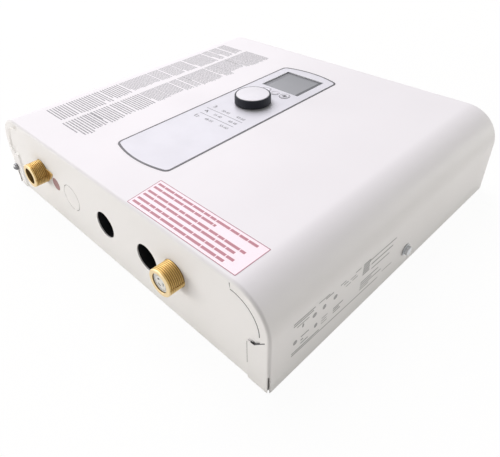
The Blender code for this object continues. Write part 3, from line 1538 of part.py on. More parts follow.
def control_lead():
    start = BOARD_TOP + 2 * SEAT_GAP + SOCKET_SIZE[2] + PLUG_HEIGHT + SEAT_GAP
    corners = [
        (SOCKET_X, SOCKET_Y, start),
        (SOCKET_X, SOCKET_Y, CONTROL_LEAD_Z),
        (CONTROL_LEAD_X, SOCKET_Y, CONTROL_LEAD_Z),
        (CONTROL_LEAD_X, SOCKET_Y, CONTROL_BOARD_Z - BOARD_THICK - SEAT_GAP),
    ]
    lead = tube(rounded_route(corners, CONTROL_LEAD_BEND), CONTROL_LEAD_RADIUS, 2)
    return keep(lead, "control_lead", LEAD_GREY)


# Terminals and leads

def terminal_block(number, x):
    """A stepped terminal block with screw wells on top and wire holes in the step."""
    width, length, height = TERMINAL_SIZE
    body = block((width, length, height), (x, TERMINAL_Y, FLOOR_Z + height / 2))
    front = TERMINAL_Y - length / 2
    top = FLOOR_Z + height
    step_low = (x - width, front - CUT_OVERRUN, top - TERMINAL_STEP_HEIGHT)
    cut(body, block_between(step_low, (x + width, front + TERMINAL_STEP_DEPTH, top + CUT_OVERRUN)))
    pitch = width / TERMINAL_WELLS
    for well in range(TERMINAL_WELLS):
        well_x = x + (well - (TERMINAL_WELLS - 1) / 2) * pitch
        well_y = TERMINAL_Y + TERMINAL_STEP_DEPTH / 2
        cut(body, rod(WELL_RADIUS, top - WELL_DEPTH, top + CUT_OVERRUN, "Z", (well_x, well_y)))
        entry_z = FLOOR_Z + TERMINAL_STEP_HEIGHT
        cut(body, rod(ENTRY_RADIUS, front - CUT_OVERRUN, TERMINAL_Y, "Y", (well_x, entry_z)))
    return keep(body, f"terminal_block_{number}", LIGHT_PLASTIC)


def ground_bar():
    width, length, height = EARTH_SIZE
    bar = block((width, length, height), (EARTH_X, EARTH_Y, FLOOR_Z + height / 2))
    top = FLOOR_Z + height
    for number in range(EARTH_SCREWS):
        x = EARTH_X + (number - (EARTH_SCREWS - 1) / 2) * width / EARTH_SCREWS
        join(bar, rod(EARTH_SCREW_RADIUS, top - height / 2, top + EARTH_SCREW_RISE, "Z", (x, EARTH_Y)))
    return keep(bar, "ground_bar", BRASS)


def power_lead(number, x):
    """A lead from a terminal block, under the inlet pipe, to the main board."""
    start = TERMINAL_Y + TERMINAL_SIZE[1] / 2 + SEAT_GAP
    corners = [
        (x, start, LEAD_Z),
        (x, LEAD_END_Y, LEAD_Z),
        (x, LEAD_END_Y, BOARD_TOP + SEAT_GAP),
    ]
    lead = tube(rounded_route(corners, LEAD_BEND), LEAD_RADIUS, 2)
    return keep(lead, f"power_lead_{number}", LEAD_BLACK)


def build():
    back_panel()
    bottom_end_wall()
    top_end_wall()
    cover()
    cover_screw_right()
    cover_screw_left()
    control_panel()
    display_glass()
    display_module()
    control_board()
    for number, x in enumerate(KEY_X, 1):
        key(number, x)
    knob()
    knob_cap()
    encoder_shaft()
    encoder_body()
    water_fitting("hot_outlet_fitting", HOT_X, HOT_Z)
    water_fitting("cold_inlet_fitting", COLD_X, COLD_Z)
    fitting_bracket("hot_fitting_bracket", HOT_X, HOT_Z)
    fitting_bracket("cold_fitting_bracket", COLD_X, COLD_Z)
    inlet_filter()
    cable_guide(1, HOLE_1_X)
    cable_guide(2, HOLE_2_X)
    flow_sensor_body()
    turbine_rotor()
    flow_valve_body()
    valve_spindle()
    valve_motor()
    inlet_pipe()
    for number, x in enumerate(CYLINDER_X, 1):
        heater_cylinder(number, x)
        heating_element(number, x)
    crossover_pipe("crossover_pipe_top", CYLINDER_X[1], CYLINDER_X[2], PORT_TOP_Y)
    crossover_pipe("crossover_pipe_bottom", CYLINDER_X[0], CYLINDER_X[1], PORT_BOTTOM_Y)
    outlet_pipe()
    for name, y in zip(("cylinder_bracket_lower", "cylinder_bracket_upper"), SADDLE_Y):
        cylinder_bracket(name, y)
    safety_limiter()
    reset_button()
    outlet_temperature_sensor()
    cooling_block()
    for number in range(1, 4):
        triac(number)
    board_carrier()
    main_board()
    transformer()
    control_socket()
    control_plug()
    control_lead()
    terminal_block(1, BLOCK_1_X)
    terminal_block(2, BLOCK_2_X)
    ground_bar()
    for number, x in enumerate(LEAD_X, 1):
        power_lead(number, x)


clear_scene()
PARTS = new_collection("tankless_water_heater")
CUTTERS = new_collection("cutters")
build()
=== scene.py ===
"""Looks of a wall-mounted tankless water heater, lying on its back on a pale floor.

The CAD nodes keep their shapes and get their finishes here. The cover is made again with finer bends, and
the two brass fittings with real threads. The printing on the cover and on the panel is thin pieces of its
own. All lengths are in metres.
"""

import math
import random

import bmesh
import bpy
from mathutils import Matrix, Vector

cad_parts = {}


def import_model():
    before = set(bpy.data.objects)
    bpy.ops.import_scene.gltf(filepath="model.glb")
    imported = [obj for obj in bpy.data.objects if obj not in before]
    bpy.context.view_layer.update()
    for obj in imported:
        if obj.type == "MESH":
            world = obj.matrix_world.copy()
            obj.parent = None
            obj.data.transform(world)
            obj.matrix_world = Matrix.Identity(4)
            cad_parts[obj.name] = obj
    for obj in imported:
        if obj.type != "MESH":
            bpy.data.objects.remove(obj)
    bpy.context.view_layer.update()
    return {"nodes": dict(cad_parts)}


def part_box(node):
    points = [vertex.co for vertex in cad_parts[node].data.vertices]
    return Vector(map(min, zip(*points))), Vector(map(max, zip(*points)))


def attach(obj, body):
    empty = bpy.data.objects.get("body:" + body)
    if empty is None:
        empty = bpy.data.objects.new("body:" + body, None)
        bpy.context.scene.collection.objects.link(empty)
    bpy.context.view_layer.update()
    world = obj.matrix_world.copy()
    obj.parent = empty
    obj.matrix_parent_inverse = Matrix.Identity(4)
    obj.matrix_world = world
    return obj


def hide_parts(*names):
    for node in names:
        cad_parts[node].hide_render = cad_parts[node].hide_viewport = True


# Camera, solved from the photograph
CAMERA_PLACE = (0.34849, -0.34707, 0.34338)
CAMERA_TURN = tuple(math.radians(a) for a in (54.814, 2.318, 46.2146))
CAMERA_SENSOR = 36.0
CAMERA_LENS = 35.489
CAMERA_SHIFT_X = 0.05734
CAMERA_SHIFT_Y = -0.08428
CAMERA_NEAR = 0.01

# Case
HALF_WIDTH = 0.210
HALF_HEIGHT = 0.1845
CASE_DEPTH = 0.0963
CORNER_RADIUS = 0.0375
CORNER_X = HALF_WIDTH - CORNER_RADIUS
CORNER_Z = CASE_DEPTH - CORNER_RADIUS
CORNER_CENTRE = (CORNER_X, CORNER_Z)
EDGE_RADIUS = 0.003
SHEET = 0.0012
COVER_FOOT = 0.0008
CUT_OVERRUN = 0.002
CORNER_STEPS = 36
LIP_STEPS = 35
EDGE_STEPS = 6
HOLE_STEPS = 32
WELD_DISTANCE = 0.000002
SMOOTH_ANGLE = math.radians(35)
COVER_SMOOTH_ANGLE = math.radians(25)
BRASS_SMOOTH_ANGLE = math.radians(40)

# Folded lips at the cover's ends
TAB_WIDTH = 0.0215
TAB_X = HALF_WIDTH - TAB_WIDTH
TAB_TOP = 0.046
CORNER_LIP = 0.009
LIP_X = HALF_WIDTH - CORNER_LIP
LIP_RADIUS = CORNER_RADIUS - CORNER_LIP
FRONT_LIP = 0.0033
LIP_TOP = CASE_DEPTH - FRONT_LIP
MITRE_INSET = 0.0147
MITRE_END = 0.0042
MITRE_LOW = (HALF_WIDTH - MITRE_INSET, TAB_TOP)
MITRE_HIGH = (HALF_WIDTH - MITRE_END, TAB_TOP + MITRE_INSET - MITRE_END)
MITRE_GAP = 0.0009
MITRE_SHIFT = MITRE_GAP * math.sqrt(0.5)
SLIT_WIDTH = 0.0015
SLIT_LENGTH = 0.020
SLIT_REACH = 0.005
RIGHT_SCREW = (0.008, 0.0205)
RIGHT_SCREW_HOLE = 0.0023
LEFT_SCREW = (-0.2025, 0.0245)
LEFT_SCREW_SLOT = 0.0026

# Control panel
PANEL_X = -0.0048
PANEL_Y = 0.0007
PANEL_WIDTH = 0.0800
PANEL_LENGTH = 0.2745
PANEL_BOW = 0.0070
PANEL_CORNER = 0.0065
PANEL_TOP = 0.0966
PRINT_LIFT = 0.00006
BORDER_OUTSIDE = 0.0008
BORDER_INSIDE = 0.0012
BORDER_ROUND = 0.0002

# Fittings
HOT_PLACE = (-0.1248, 0.0521)
COLD_PLACE = (0.104, 0.053)
THREAD_RADIUS = 0.0133
THREAD_DEPTH = 0.0009
THREAD_PITCH = 0.0018
THREAD_CREST_SHARE = 0.14
THREAD_FLANK_SHARE = 0.36
THREAD_SIDES = 72
THREAD_STEPS = 8
THREAD_END = -0.1816
FITTING_TIP = -0.1985
FITTING_BORE = 0.0095
FITTING_CHAMFER = 0.0006
FITTING_LIP = 0.0091
FITTING_LIP_LENGTH = 0.0008
RIM_LENGTH = 0.0010
RUN_IN = 0.0010
SHOULDER_RADIUS = 0.0165
SHOULDER_NEAR = -0.1814
SHOULDER_FAR = -0.1744
TAIL_RADIUS = 0.011
TAIL_END = -0.150
WALL_FACE = -0.1829
LUG_THICK = 0.001
LUG_EDGE = 0.0002
LUG_EDGE_STEPS = 2
LUG_EDGE_PROFILE = 0.5
# The lug's outline as (across, up) from the fitting's axis
LUG_OUTLINE = (
    (0.009, 0.0075), (0.0136, 0.0075), (0.021, 0.0071), (0.0251, 0.0064), (0.0237, 0.0032),
    (0.0184, -0.0025), (0.0081, -0.0104), (0.009, -0.007),
)

# Strips of painted shade and painted light at the corners, the knockout and the spot
SHADE_STRIP_WIDTH = 0.0011
TAB_SHADE_WIDTH = 0.0007
STRIP_RECESS = 0.0001
WEDGE = ((0.1914, 0.0461), (0.1953, 0.0461), (0.1964, 0.0472), (0.1950, 0.0470))
SLOPE_WIDTH = 0.0022
TAB_SHADE_LOW = 0.0190
TAB_SHADE_HIGH = 0.0435
KNOCKOUT = (-0.0654, 0.0444)
KNOCKOUT_RADIUS = 0.0150
KNOCKOUT_LINE = 0.0004
KNOCKOUT_TURNS = (math.radians(-55), math.radians(140))
SPOT = (-0.0971, 0.0468)
SPOT_RADIUS = 0.0074

# Keys
KEY_RING = 0.0066
KEY_RING_LINE = 0.0005
MIDDLE_RING = 0.0042
RING_STEPS = 48
KEY_SIGN = (((-0.0034, -0.0008), (0.0002, 0.0030)), ((-0.0004, -0.0030), (0.0032, 0.0008)))
KEY_SIGN_LINE = 0.0012
KEY_SIGN_DOT = 0.0012

# Paint, metals and plastics
PAINT = (0.80, 0.79, 0.79)
# Painted shade on the cover's rolled folds at its ends
FOLD_PAINTED_SHADE = 0.10
ZINC = (0.55, 0.56, 0.57)
TURNED_ZINC = ((0.62, 0.63, 0.64), (0.42, 0.43, 0.44))
DULL_ZINC = ((0.30, 0.30, 0.31), (0.20, 0.20, 0.21))
DULL_ZINC_ROUGHNESS = 0.4
MACHINED_BRASS = ((0.76, 0.53, 0.24), (0.45, 0.27, 0.10))
CUT_ALUMINIUM = ((0.72, 0.73, 0.74), (0.55, 0.56, 0.57))
PANEL_WHITE = (0.69, 0.695, 0.73)
CAP_WHITE = (0.74, 0.74, 0.76)
PANEL_ROUGHNESS = 0.36
PANEL_GLOSS = 0.3
KNOB_DARK = (0.008, 0.010, 0.016)
KNOB_ROUGHNESS = 0.45
KNOB_GLOSS = 0.22
GREY_PLASTIC = (0.30, 0.31, 0.32)
NATURAL_WHITE = (0.70, 0.70, 0.68)
BLACK_PLASTIC = (0.012, 0.012, 0.014)
BUTTON_RED = (0.50, 0.03, 0.02)
BUTTON_ROUGHNESS = 0.25
LEAD_GREY = (0.16, 0.17, 0.18)
LEAD_BLACK = (0.012, 0.012, 0.012)
BORDER_DARK = (0.045, 0.046, 0.05)
# Painted shade for the right corners' strips, and painted light for the left corners' strips
PAINTED_SHADE_BLACK = (0.006, 0.006, 0.007)
PAINTED_SHADE_DARK = (0.055, 0.056, 0.058)
PAINTED_SHADE_GREY = (0.22, 0.22, 0.215)
PAINTED_LIGHT_PALE = (0.88, 0.87, 0.86)

# Inks
LEGEND_GREY = (0.05, 0.05, 0.055)
RING_GREY = (0.09, 0.09, 0.10)
MIDDLE_RING_PALE = (0.30, 0.25, 0.27)
FRAME_RED = (0.28, 0.09, 0.12)
GROUND_PINK = (0.80, 0.67, 0.70)
RULE_RED = (0.34, 0.11, 0.14)
PRINT_GREY = (0.16, 0.16, 0.165)
SIDE_GREY = (0.27, 0.27, 0.27)
SPOT_RED = (0.27, 0.125, 0.12)
# Painted shade, not ink: the dark line along the knockout's cut
KNOCKOUT_SHADE_GREY = (0.22, 0.22, 0.21)

# Floor, background and light
FLOOR_Z = -0.0004
FLOOR_SIZE = 8.0
FLOOR_COLOUR = (0.91, 0.895, 0.84)
FLOOR_WHITE_SHARE = 0.955
WORLD_COLOUR = (1.0, 0.99, 0.96)
WORLD_STRENGTH = 0.23
WHITE = (1.0, 1.0, 1.0)
# Each lamp as (name, place, aim, width, height, power, colour)
LAMPS = (
    ("overhead", (-4.5, 1.8, 6.3), (0, 0, 0.05), 7.0, 7.0, 775.0, (0.96, 0.92, 0.985)),
    ("end_side", (-1.8, -2.7, 0.42), (0, -0.18, 0.04), 3.0, 0.8, 58.0, (1.0, 0.985, 0.935)),
    ("right_side", (2.4, 2.1, 0.36), (0.2, 0, 0.04), 2.4, 0.7, 34.0, (1.0, 0.985, 0.94)),
)


# Shader maths

class Value:
    """A shader socket that works in Python sums. Each sum adds its Math node."""

    def __init__(self, finish, socket):
        self.finish = finish
        self.socket = socket

    def sum(self, operation, other, swapped=False):
        pair = (other, self) if swapped else (self, other)
        return self.finish.add("ShaderNodeMath", {"operation": operation}, dict(enumerate(pair)))

    def __add__(self, other):
        return self.sum("ADD", other)

    def __sub__(self, other):
        return self.sum("SUBTRACT", other)

    def __rsub__(self, other):
        return self.sum("SUBTRACT", other, swapped=True)

    def __mul__(self, other):
        return self.sum("MULTIPLY", other)

    def __pow__(self, other):
        return self.sum("POWER", other)

    __radd__ = __add__
    __rmul__ = __mul__

    def wave(self):
        return self.finish.add("ShaderNodeMath", {"operation": "SINE"}, {0: self})

    def size(self):
        return self.finish.add("ShaderNodeMath", {"operation": "ABSOLUTE"}, {0: self})

    def least(self, other):
        return self.sum("MINIMUM", other)

    def remainder(self, step):
        return self.sum("FLOORED_MODULO", step)

    def rise(self, low, high):
        """0 at low and 1 at high, smooth between them and level past them. Low may be above high."""
        values = {"From Min": low, "From Max": high}
        settings = {"interpolation_type": "SMOOTHSTEP"}
        return self.finish.add("ShaderNodeMapRange", settings, {"Value": self, **values})


class Finish:
    """One procedural material: a Principled shader and the nodes that vary it over the surface."""

    def __init__(self, name, colour, roughness, metallic=0.0, **more):
        self.material = bpy.data.materials.new(name)
        self.material.use_nodes = True
        self.tree = self.material.node_tree
        self.shader = self.tree.nodes["Principled BSDF"]
        self.set("Base Color", (*colour, 1.0))
        self.set("Roughness", roughness)
        self.set("Metallic", metallic)
        for socket, value in more.items():
            self.set(socket.replace("_", " "), value)
        self.place = self.add("ShaderNodeTexCoord", output="Object")
        self.axes = None

    def join(self, socket, value):
        if isinstance(value, Value):
            self.tree.links.new(value.socket, socket)
        else:
            socket.default_value = value

    def set(self, socket, value):
        self.join(self.shader.inputs[socket], value)

    def add(self, kind, settings=None, values=None, output=0):
        """A node of any kind, with its settings first and then the values or links of its sockets."""
        node = self.tree.nodes.new(kind)
        for name, value in (settings or {}).items():
            setattr(node, name, value)
        for name, value in (values or {}).items():
            self.join(node.inputs[name], value)
        return Value(self, node.outputs[output])

    def axis(self, letter):
        """One coordinate of the surface point, in metres in the shared frame."""
        if self.axes is None:
            self.axes = self.add("ShaderNodeSeparateXYZ", values={0: self.place}).socket.node
        return Value(self, self.axes.outputs[letter])

    def stretched(self, x, y, z):
        settings = {"operation": "MULTIPLY"}
        return self.add("ShaderNodeVectorMath", settings, {0: self.place, 1: (x, y, z)})

    def noise(self, scale, detail, stretch=None):
        where = self.stretched(*stretch) if stretch else self.place
        values = {"Vector": where, "Scale": scale, "Detail": detail}
        return self.add("ShaderNodeTexNoise", values=values)

    def mix(self, share, first, second):
        """first where share is 0, second where it is 1. Each is a colour or a colour socket."""
        values = {0: share}
        for index, colour in ((6, first), (7, second)):
            values[index] = colour if isinstance(colour, Value) else (*colour, 1.0)
        return self.add("ShaderNodeMix", {"data_type": "RGBA"}, values, output=2)

    def bump(self, height, distance, strength):
        values = {"Height": height, "Distance": distance, "Strength": strength}
        self.set("Normal", self.add("ShaderNodeBump", values=values))


# Finishes. Each noise is (scale, detail), each edge is where a patch starts and where it is full, and each
# bump is (depth, strength). Dulling is how much rougher the dull patches are
COAT_GLOSS = 0.3
COAT_ROUGHNESS = 0.43
COAT_DULLING = 0.10
COAT_DULL_PATCH = (14.0, 3.0)
COAT_CLOUD = (7.0, 3.0)
COAT_CLOUD_EDGE = (0.35, 0.7)
COAT_CLOUD_SHADE = 0.975
COAT_PEEL = (650.0, 2.0)
COAT_PEEL_BUMP = (0.00003, 0.35)
FOLD_EDGE = (0.0001, 0.0005)


def shaded(colour, share):
    return tuple(share * c for c in colour)


def powder_coat(name, colour, fold_painted_shade=0.0):
    """Satin powder coat: orange peel, a faint cloud, duller patches and painted shade on the rolled folds
    at the ends.
    """
    finish = Finish(name, colour, COAT_ROUGHNESS, Specular_IOR_Level=COAT_GLOSS)
    cloud = finish.noise(*COAT_CLOUD).rise(*COAT_CLOUD_EDGE)
    end = finish.axis("Y").size()
    # Painted shade: the colour darkens on the rolled folds where the front turns over onto the ends
    fold = end.rise(HALF_HEIGHT - EDGE_RADIUS, HALF_HEIGHT - EDGE_RADIUS / 2)
    fold = fold * end.rise(HALF_HEIGHT - FOLD_EDGE[0], HALF_HEIGHT - FOLD_EDGE[1])
    coat = finish.mix(cloud, colour, shaded(colour, COAT_CLOUD_SHADE))
    finish.set("Base Color", finish.mix(fold, coat, shaded(colour, 1 - fold_painted_shade)))
    finish.set("Roughness", COAT_ROUGHNESS + COAT_DULLING * finish.noise(*COAT_DULL_PATCH))
    finish.bump(finish.noise(*COAT_PEEL), *COAT_PEEL_BUMP)
    return finish.material


PLASTIC_ROUGHNESS = 0.42
PLASTIC_GLOSS = 0.4
PLASTIC_DULLING = 0.08
PLASTIC_DULL_PATCH = (90.0, 2.0)
PLASTIC_CLOUD = (30.0, 3.0)
PLASTIC_CLOUD_EDGE = (0.3, 0.75)
PLASTIC_CLOUD_SHADE = 0.94
PLASTIC_GRAIN = (1400.0, 1.0)
PLASTIC_GRAIN_BUMP = (0.00002, 0.5)


def moulded_plastic(name, colour, roughness=PLASTIC_ROUGHNESS, gloss=PLASTIC_GLOSS):
    """Spark-eroded moulded plastic."""
    finish = Finish(name, colour, roughness, Specular_IOR_Level=gloss)
    cloud = finish.noise(*PLASTIC_CLOUD).rise(*PLASTIC_CLOUD_EDGE)
    finish.set("Base Color", finish.mix(cloud, colour, shaded(colour, PLASTIC_CLOUD_SHADE)))
    low = roughness - PLASTIC_DULLING / 2
    finish.set("Roughness", low + PLASTIC_DULLING * finish.noise(*PLASTIC_DULL_PATCH))
    finish.bump(finish.noise(*PLASTIC_GRAIN), *PLASTIC_GRAIN_BUMP)
    return finish.material


METAL_ROUGHNESS = 0.26
METAL_DULLING = 0.16
METAL_TARNISH = (110.0, 4.0)
METAL_TARNISH_EDGE = (0.4, 0.75)
METAL_GRAIN = (420.0, 2.0)
METAL_BUMP = (0.00001, 0.5)
TOOL_LINES = 5200.0


def turned_metal(name, colour, shade, line_axis, roughness=METAL_ROUGHNESS):
    """Machined metal with fine tool lines across one axis, and a little tarnish."""
    finish = Finish(name, colour, roughness, metallic=1.0)
    tarnish = finish.noise(*METAL_TARNISH).rise(*METAL_TARNISH_EDGE)
    finish.set("Base Color", finish.mix(tarnish, colour, shade))
    finish.set("Roughness", roughness + METAL_DULLING * tarnish)
    ridge = (finish.axis(line_axis) * TOOL_LINES).wave()
    finish.bump(ridge + finish.noise(*METAL_GRAIN), *METAL_BUMP)
    return finish.material


STEEL_ROUGHNESS = 0.30
SPANGLE_SCALE = 190.0
SPANGLE_DULLING = 0.15
ROLLING_DULLING = 0.1
ROLLING_GRAIN = (60.0, 2.0)
ROLLING_STRETCH = (1.0, 18.0, 1.0)
ROLLING_EDGE = (0.3, 0.7)
ROLLING_SHADE = 0.82
ROLLING_BUMP = (0.00002, 0.4)


def rolled_steel(name, colour):
    """Zinc-plated sheet: soft spangle and a rolling grain."""
    finish = Finish(name, colour, STEEL_ROUGHNESS, metallic=1.0)
    values = {"Vector": finish.place, "Scale": SPANGLE_SCALE}
    spangle = finish.add("ShaderNodeTexVoronoi", values=values)
    grain = finish.noise(*ROLLING_GRAIN, stretch=ROLLING_STRETCH)
    finish.set("Base Color", finish.mix(grain.rise(*ROLLING_EDGE), colour, shaded(colour, ROLLING_SHADE)))
    finish.set("Roughness", STEEL_ROUGHNESS + SPANGLE_DULLING * spangle + ROLLING_DULLING * grain)
    finish.bump(grain, *ROLLING_BUMP)
    return finish.material


COPPER_BRIGHT = (0.76, 0.40, 0.25)
COPPER_DULL = (0.44, 0.19, 0.10)
COPPER_ROUGHNESS = 0.24
COPPER_DULLING = 0.22
COPPER_PATCH = (45.0, 5.0)
COPPER_PATCH_EDGE = (0.42, 0.72)
COPPER_STREAK = (220.0, 2.0)
COPPER_STREAK_STRETCH = (1.0, 0.1, 1.0)
COPPER_STREAK_EDGE = (0.5, 0.8)
COPPER_STREAK_SHARE = 0.4
COPPER_BUMP = (0.00002, 0.4)


def copper_tube(name):
    """Drawn copper with darker, warmer patches of tarnish."""
    finish = Finish(name, COPPER_BRIGHT, COPPER_ROUGHNESS, metallic=1.0)
    patch = finish.noise(*COPPER_PATCH).rise(*COPPER_PATCH_EDGE)
    streak = finish.noise(*COPPER_STREAK, stretch=COPPER_STREAK_STRETCH).rise(*COPPER_STREAK_EDGE)
    dull = (patch + streak * COPPER_STREAK_SHARE).least(1.0)
    finish.set("Base Color", finish.mix(dull, COPPER_BRIGHT, COPPER_DULL))
    finish.set("Roughness", COPPER_ROUGHNESS + COPPER_DULLING * patch)
    finish.bump(streak, *COPPER_BUMP)
    return finish.material


MASK_GREEN = (0.012, 0.11, 0.045)
TRACK_GREEN = (0.03, 0.22, 0.09)
PAD_METAL = (0.70, 0.66, 0.50)
PAD_METALLIC = 0.8
PAD_PITCH = 0.0084
PAD_EDGE = (0.0010, 0.0008)
TRACK_PITCH = 0.0042
TRACK_EDGE = (0.0008, 0.0006)
TRACK_WANDER = 0.012
WANDER_NOISE = (38.0, 0.0)
REGION_NOISE = (24.0, 0.0)
REGION_EDGE = (0.48, 0.5)
BOARD_ROUGHNESS = 0.28
BOARD_BUMP = (0.00005, 0.5)


def from_middle(value, pitch):
    """How far a coordinate is from the middle of its own pitch."""
    return value.remainder(pitch) - pitch / 2


def circuit_board(name):
    """Green solder mask with lighter copper tracks beneath it and bare pads."""
    finish = Finish(name, MASK_GREEN, BOARD_ROUGHNESS)
    x = finish.axis("X")
    y = finish.axis("Y")
    wander = finish.noise(*WANDER_NOISE) * TRACK_WANDER
    rows = from_middle(y + wander, TRACK_PITCH).size().rise(*TRACK_EDGE)
    columns = from_middle(x + wander, TRACK_PITCH).size().rise(*TRACK_EDGE)
    region = finish.noise(*REGION_NOISE).rise(*REGION_EDGE)
    tracks = rows * region + columns * (1.0 - region)
    reach = from_middle(x, PAD_PITCH) ** 2.0 + from_middle(y, PAD_PITCH) ** 2.0
    dots = (reach ** 0.5).rise(*PAD_EDGE)
    colour = finish.mix(tracks, MASK_GREEN, TRACK_GREEN)
    finish.set("Base Color", finish.mix(dots, colour, PAD_METAL))
    finish.set("Metallic", dots * PAD_METALLIC)
    finish.bump(tracks + dots, *BOARD_BUMP)
    return finish.material


JACKET_ROUGHNESS = 0.42
JACKET_DULLING = 0.2
JACKET_RIPPLE = (900.0, 1.0)
JACKET_BUMP = (0.00003, 0.4)


def cable_jacket(name, colour):
    """A soft lead's jacket with a fine ripple."""
    finish = Finish(name, colour, JACKET_ROUGHNESS)
    ripple = finish.noise(*JACKET_RIPPLE)
    finish.set("Roughness", JACKET_ROUGHNESS + JACKET_DULLING * ripple)
    finish.bump(ripple, *JACKET_BUMP)
    return finish.material


INK_ROUGHNESS = 0.45
INK_PATCH = (1800.0, 1.0)
INK_LIGHTER = 1.25
INK_LIFT = 0.02


def ink(name, colour):
    """Printed ink: slightly uneven cover."""
    finish = Finish(name, colour, INK_ROUGHNESS)
    patch = finish.noise(*INK_PATCH)
    lighter = tuple(min(1.0, c * INK_LIGHTER + INK_LIFT) for c in colour)
    finish.set("Base Color", finish.mix(patch, colour, lighter))
    return finish.material


SCREEN_GREY = (0.25, 0.26, 0.275)
# Painted sheen: the glass grows lighter towards its foot
SCREEN_PAINTED_SHEEN = (0.31, 0.32, 0.335)
# Painted shadow of the recess walls, inside the border on the left and head sides
SCREEN_PAINTED_SHADOW = (0.185, 0.19, 0.205)
SCREEN_DARK = (0.085, 0.09, 0.10)
SCREEN_ROUGHNESS = 0.12
SCREEN_DULLING = 0.08
SCREEN_SMEAR = (60.0, 2.0)
SCREEN_CELLS = (2600.0, 0.0)
SCREEN_CELL_SHARE = 0.06
# The dark printed border and the painted shadow of the recess inside it, as distances from the glass's
# edge
SCREEN_LEFT = (0.0008, 0.0011)
SCREEN_RIGHT = (0.0053, 0.0057)
SCREEN_FOOT = (0.0014, 0.0017)
SCREEN_HEAD = (0.0008, 0.0011)
SCREEN_SHADOW_LEFT = (0.0045, 0.0070)
SCREEN_SHADOW_HEAD = (0.0030, 0.0055)


def border(axis, edge, inwards, band):
    """0 in the border beside one edge of the glass and 1 past it."""
    return axis.rise(edge + inwards * band[0], edge + inwards * band[1])


def display_window(name):
    """A grey liquid crystal window: a darker printed border, widest on its right, with painted shadow and
    sheen.
    """
    low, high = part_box("display_glass")
    finish = Finish(name, SCREEN_GREY, SCREEN_ROUGHNESS)
    x = finish.axis("X")
    y = finish.axis("Y")
    inside = border(x, low[0], 1, SCREEN_LEFT) * border(x, high[0], -1, SCREEN_RIGHT)
    inside = inside * border(y, low[1], 1, SCREEN_FOOT) * border(y, high[1], -1, SCREEN_HEAD)
    # Painted shadow of the recess walls inside the left and head borders
    clear = border(x, low[0], 1, SCREEN_SHADOW_LEFT) * border(y, high[1], -1, SCREEN_SHADOW_HEAD)
    cells = finish.noise(*SCREEN_CELLS)
    # Painted sheen: lighter towards the foot
    screen = finish.mix(y.rise(high[1], low[1]), SCREEN_GREY, SCREEN_PAINTED_SHEEN)
    screen = finish.mix(cells * SCREEN_CELL_SHARE, screen, SCREEN_DARK)
    screen = finish.mix(clear, SCREEN_PAINTED_SHADOW, screen)
    finish.set("Base Color", finish.mix(inside, SCREEN_DARK, screen))
    finish.set("Roughness", SCREEN_ROUGHNESS + SCREEN_DULLING * finish.noise(*SCREEN_SMEAR))
    return finish.material


BRASS_BRIGHT = (0.64, 0.45, 0.18)
BRASS_BROWN = (0.21, 0.115, 0.03)
# Painted highlight on the plain rim at the fitting's tip
BRASS_PAINTED_HIGHLIGHT = (0.80, 0.63, 0.37)
BRASS_ROUGHNESS = 0.36
BRASS_DULLING = 0.2
BRASS_TARNISH = (160.0, 4.0)
BRASS_TARNISH_EDGE = (0.45, 0.8)
BRASS_GRAIN = (700.0, 2.0)
BRASS_BUMP = (0.00001, 0.4)
# How brown the roots, the bore and the tarnish are
ROOT_SHARE = 0.75
BORE_SHARE = 0.7
TARNISH_SHARE = 0.25
# Where the brass changes colour, as distances from the crest, the root, the bore, the rim and the lip
ROOT_START = 0.0001
ROOT_END = (0.0006, 0.0003)
BORE_EDGE = (0.0004, 0.0001)
RIM_EDGE = 0.0003
LIP_EDGE = 0.0002


def thread_brass(name, place):
    """Cut brass thread: golden crests, brown roots and a painted highlight on the plain rim at the tip."""
    finish = Finish(name, BRASS_BRIGHT, BRASS_ROUGHNESS, metallic=1.0)
    x = finish.axis("X") - place[0]
    z = finish.axis("Z") - place[1]
    reach = (x ** 2.0 + z ** 2.0) ** 0.5
    root_radius = THREAD_RADIUS - THREAD_DEPTH
    root = reach.rise(THREAD_RADIUS - ROOT_START, root_radius)
    outside = reach.rise(root_radius - ROOT_END[0], root_radius - ROOT_END[1])
    bore = reach.rise(FITTING_BORE + BORE_EDGE[0], FITTING_BORE + BORE_EDGE[1])
    tarnish = finish.noise(*BRASS_TARNISH).rise(*BRASS_TARNISH_EDGE)
    dark = (root * outside * ROOT_SHARE + bore * BORE_SHARE + tarnish * TARNISH_SHARE).least(1.0)
    # Painted highlight: the plain rim at the tip is pale
    rim_end = FITTING_TIP + RIM_LENGTH
    rim = finish.axis("Y").rise(rim_end, rim_end - RIM_EDGE)
    rim = rim * reach.rise(FITTING_LIP, FITTING_LIP + LIP_EDGE)
    worn = finish.mix(dark, BRASS_BRIGHT, BRASS_BROWN)
    finish.set("Base Color", finish.mix(rim, worn, BRASS_PAINTED_HIGHLIGHT))
    finish.set("Roughness", BRASS_ROUGHNESS + BRASS_DULLING * dark)
    finish.bump(finish.noise(*BRASS_GRAIN), *BRASS_BUMP)
    return finish.material


# Mesh helpers

def in_scene(name, data):
    """A new object in the scene that holds the data."""
    obj = bpy.data.objects.new(name, data)
    bpy.context.scene.collection.objects.link(obj)
    return obj


def mesh_piece(name, points, faces, material, body, smooth=False):
    mesh = bpy.data.meshes.new(name)
    mesh.from_pydata(points, [], faces)
    obj = in_scene(name, mesh)
    mesh.materials.append(material)
    if smooth:
        mesh.shade_smooth()
        mesh.set_sharp_from_angle(angle=SMOOTH_ANGLE)
    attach(obj, body)
    return obj


def rework(mesh, change):
    """Gives a mesh to one change as a bmesh and takes the result back."""
    work = bmesh.new()
    work.from_mesh(mesh)
    change(work)
    work.to_mesh(mesh)
    work.free()


def turn_faces_out(work):
    bmesh.ops.recalc_face_normals(work, faces=work.faces)


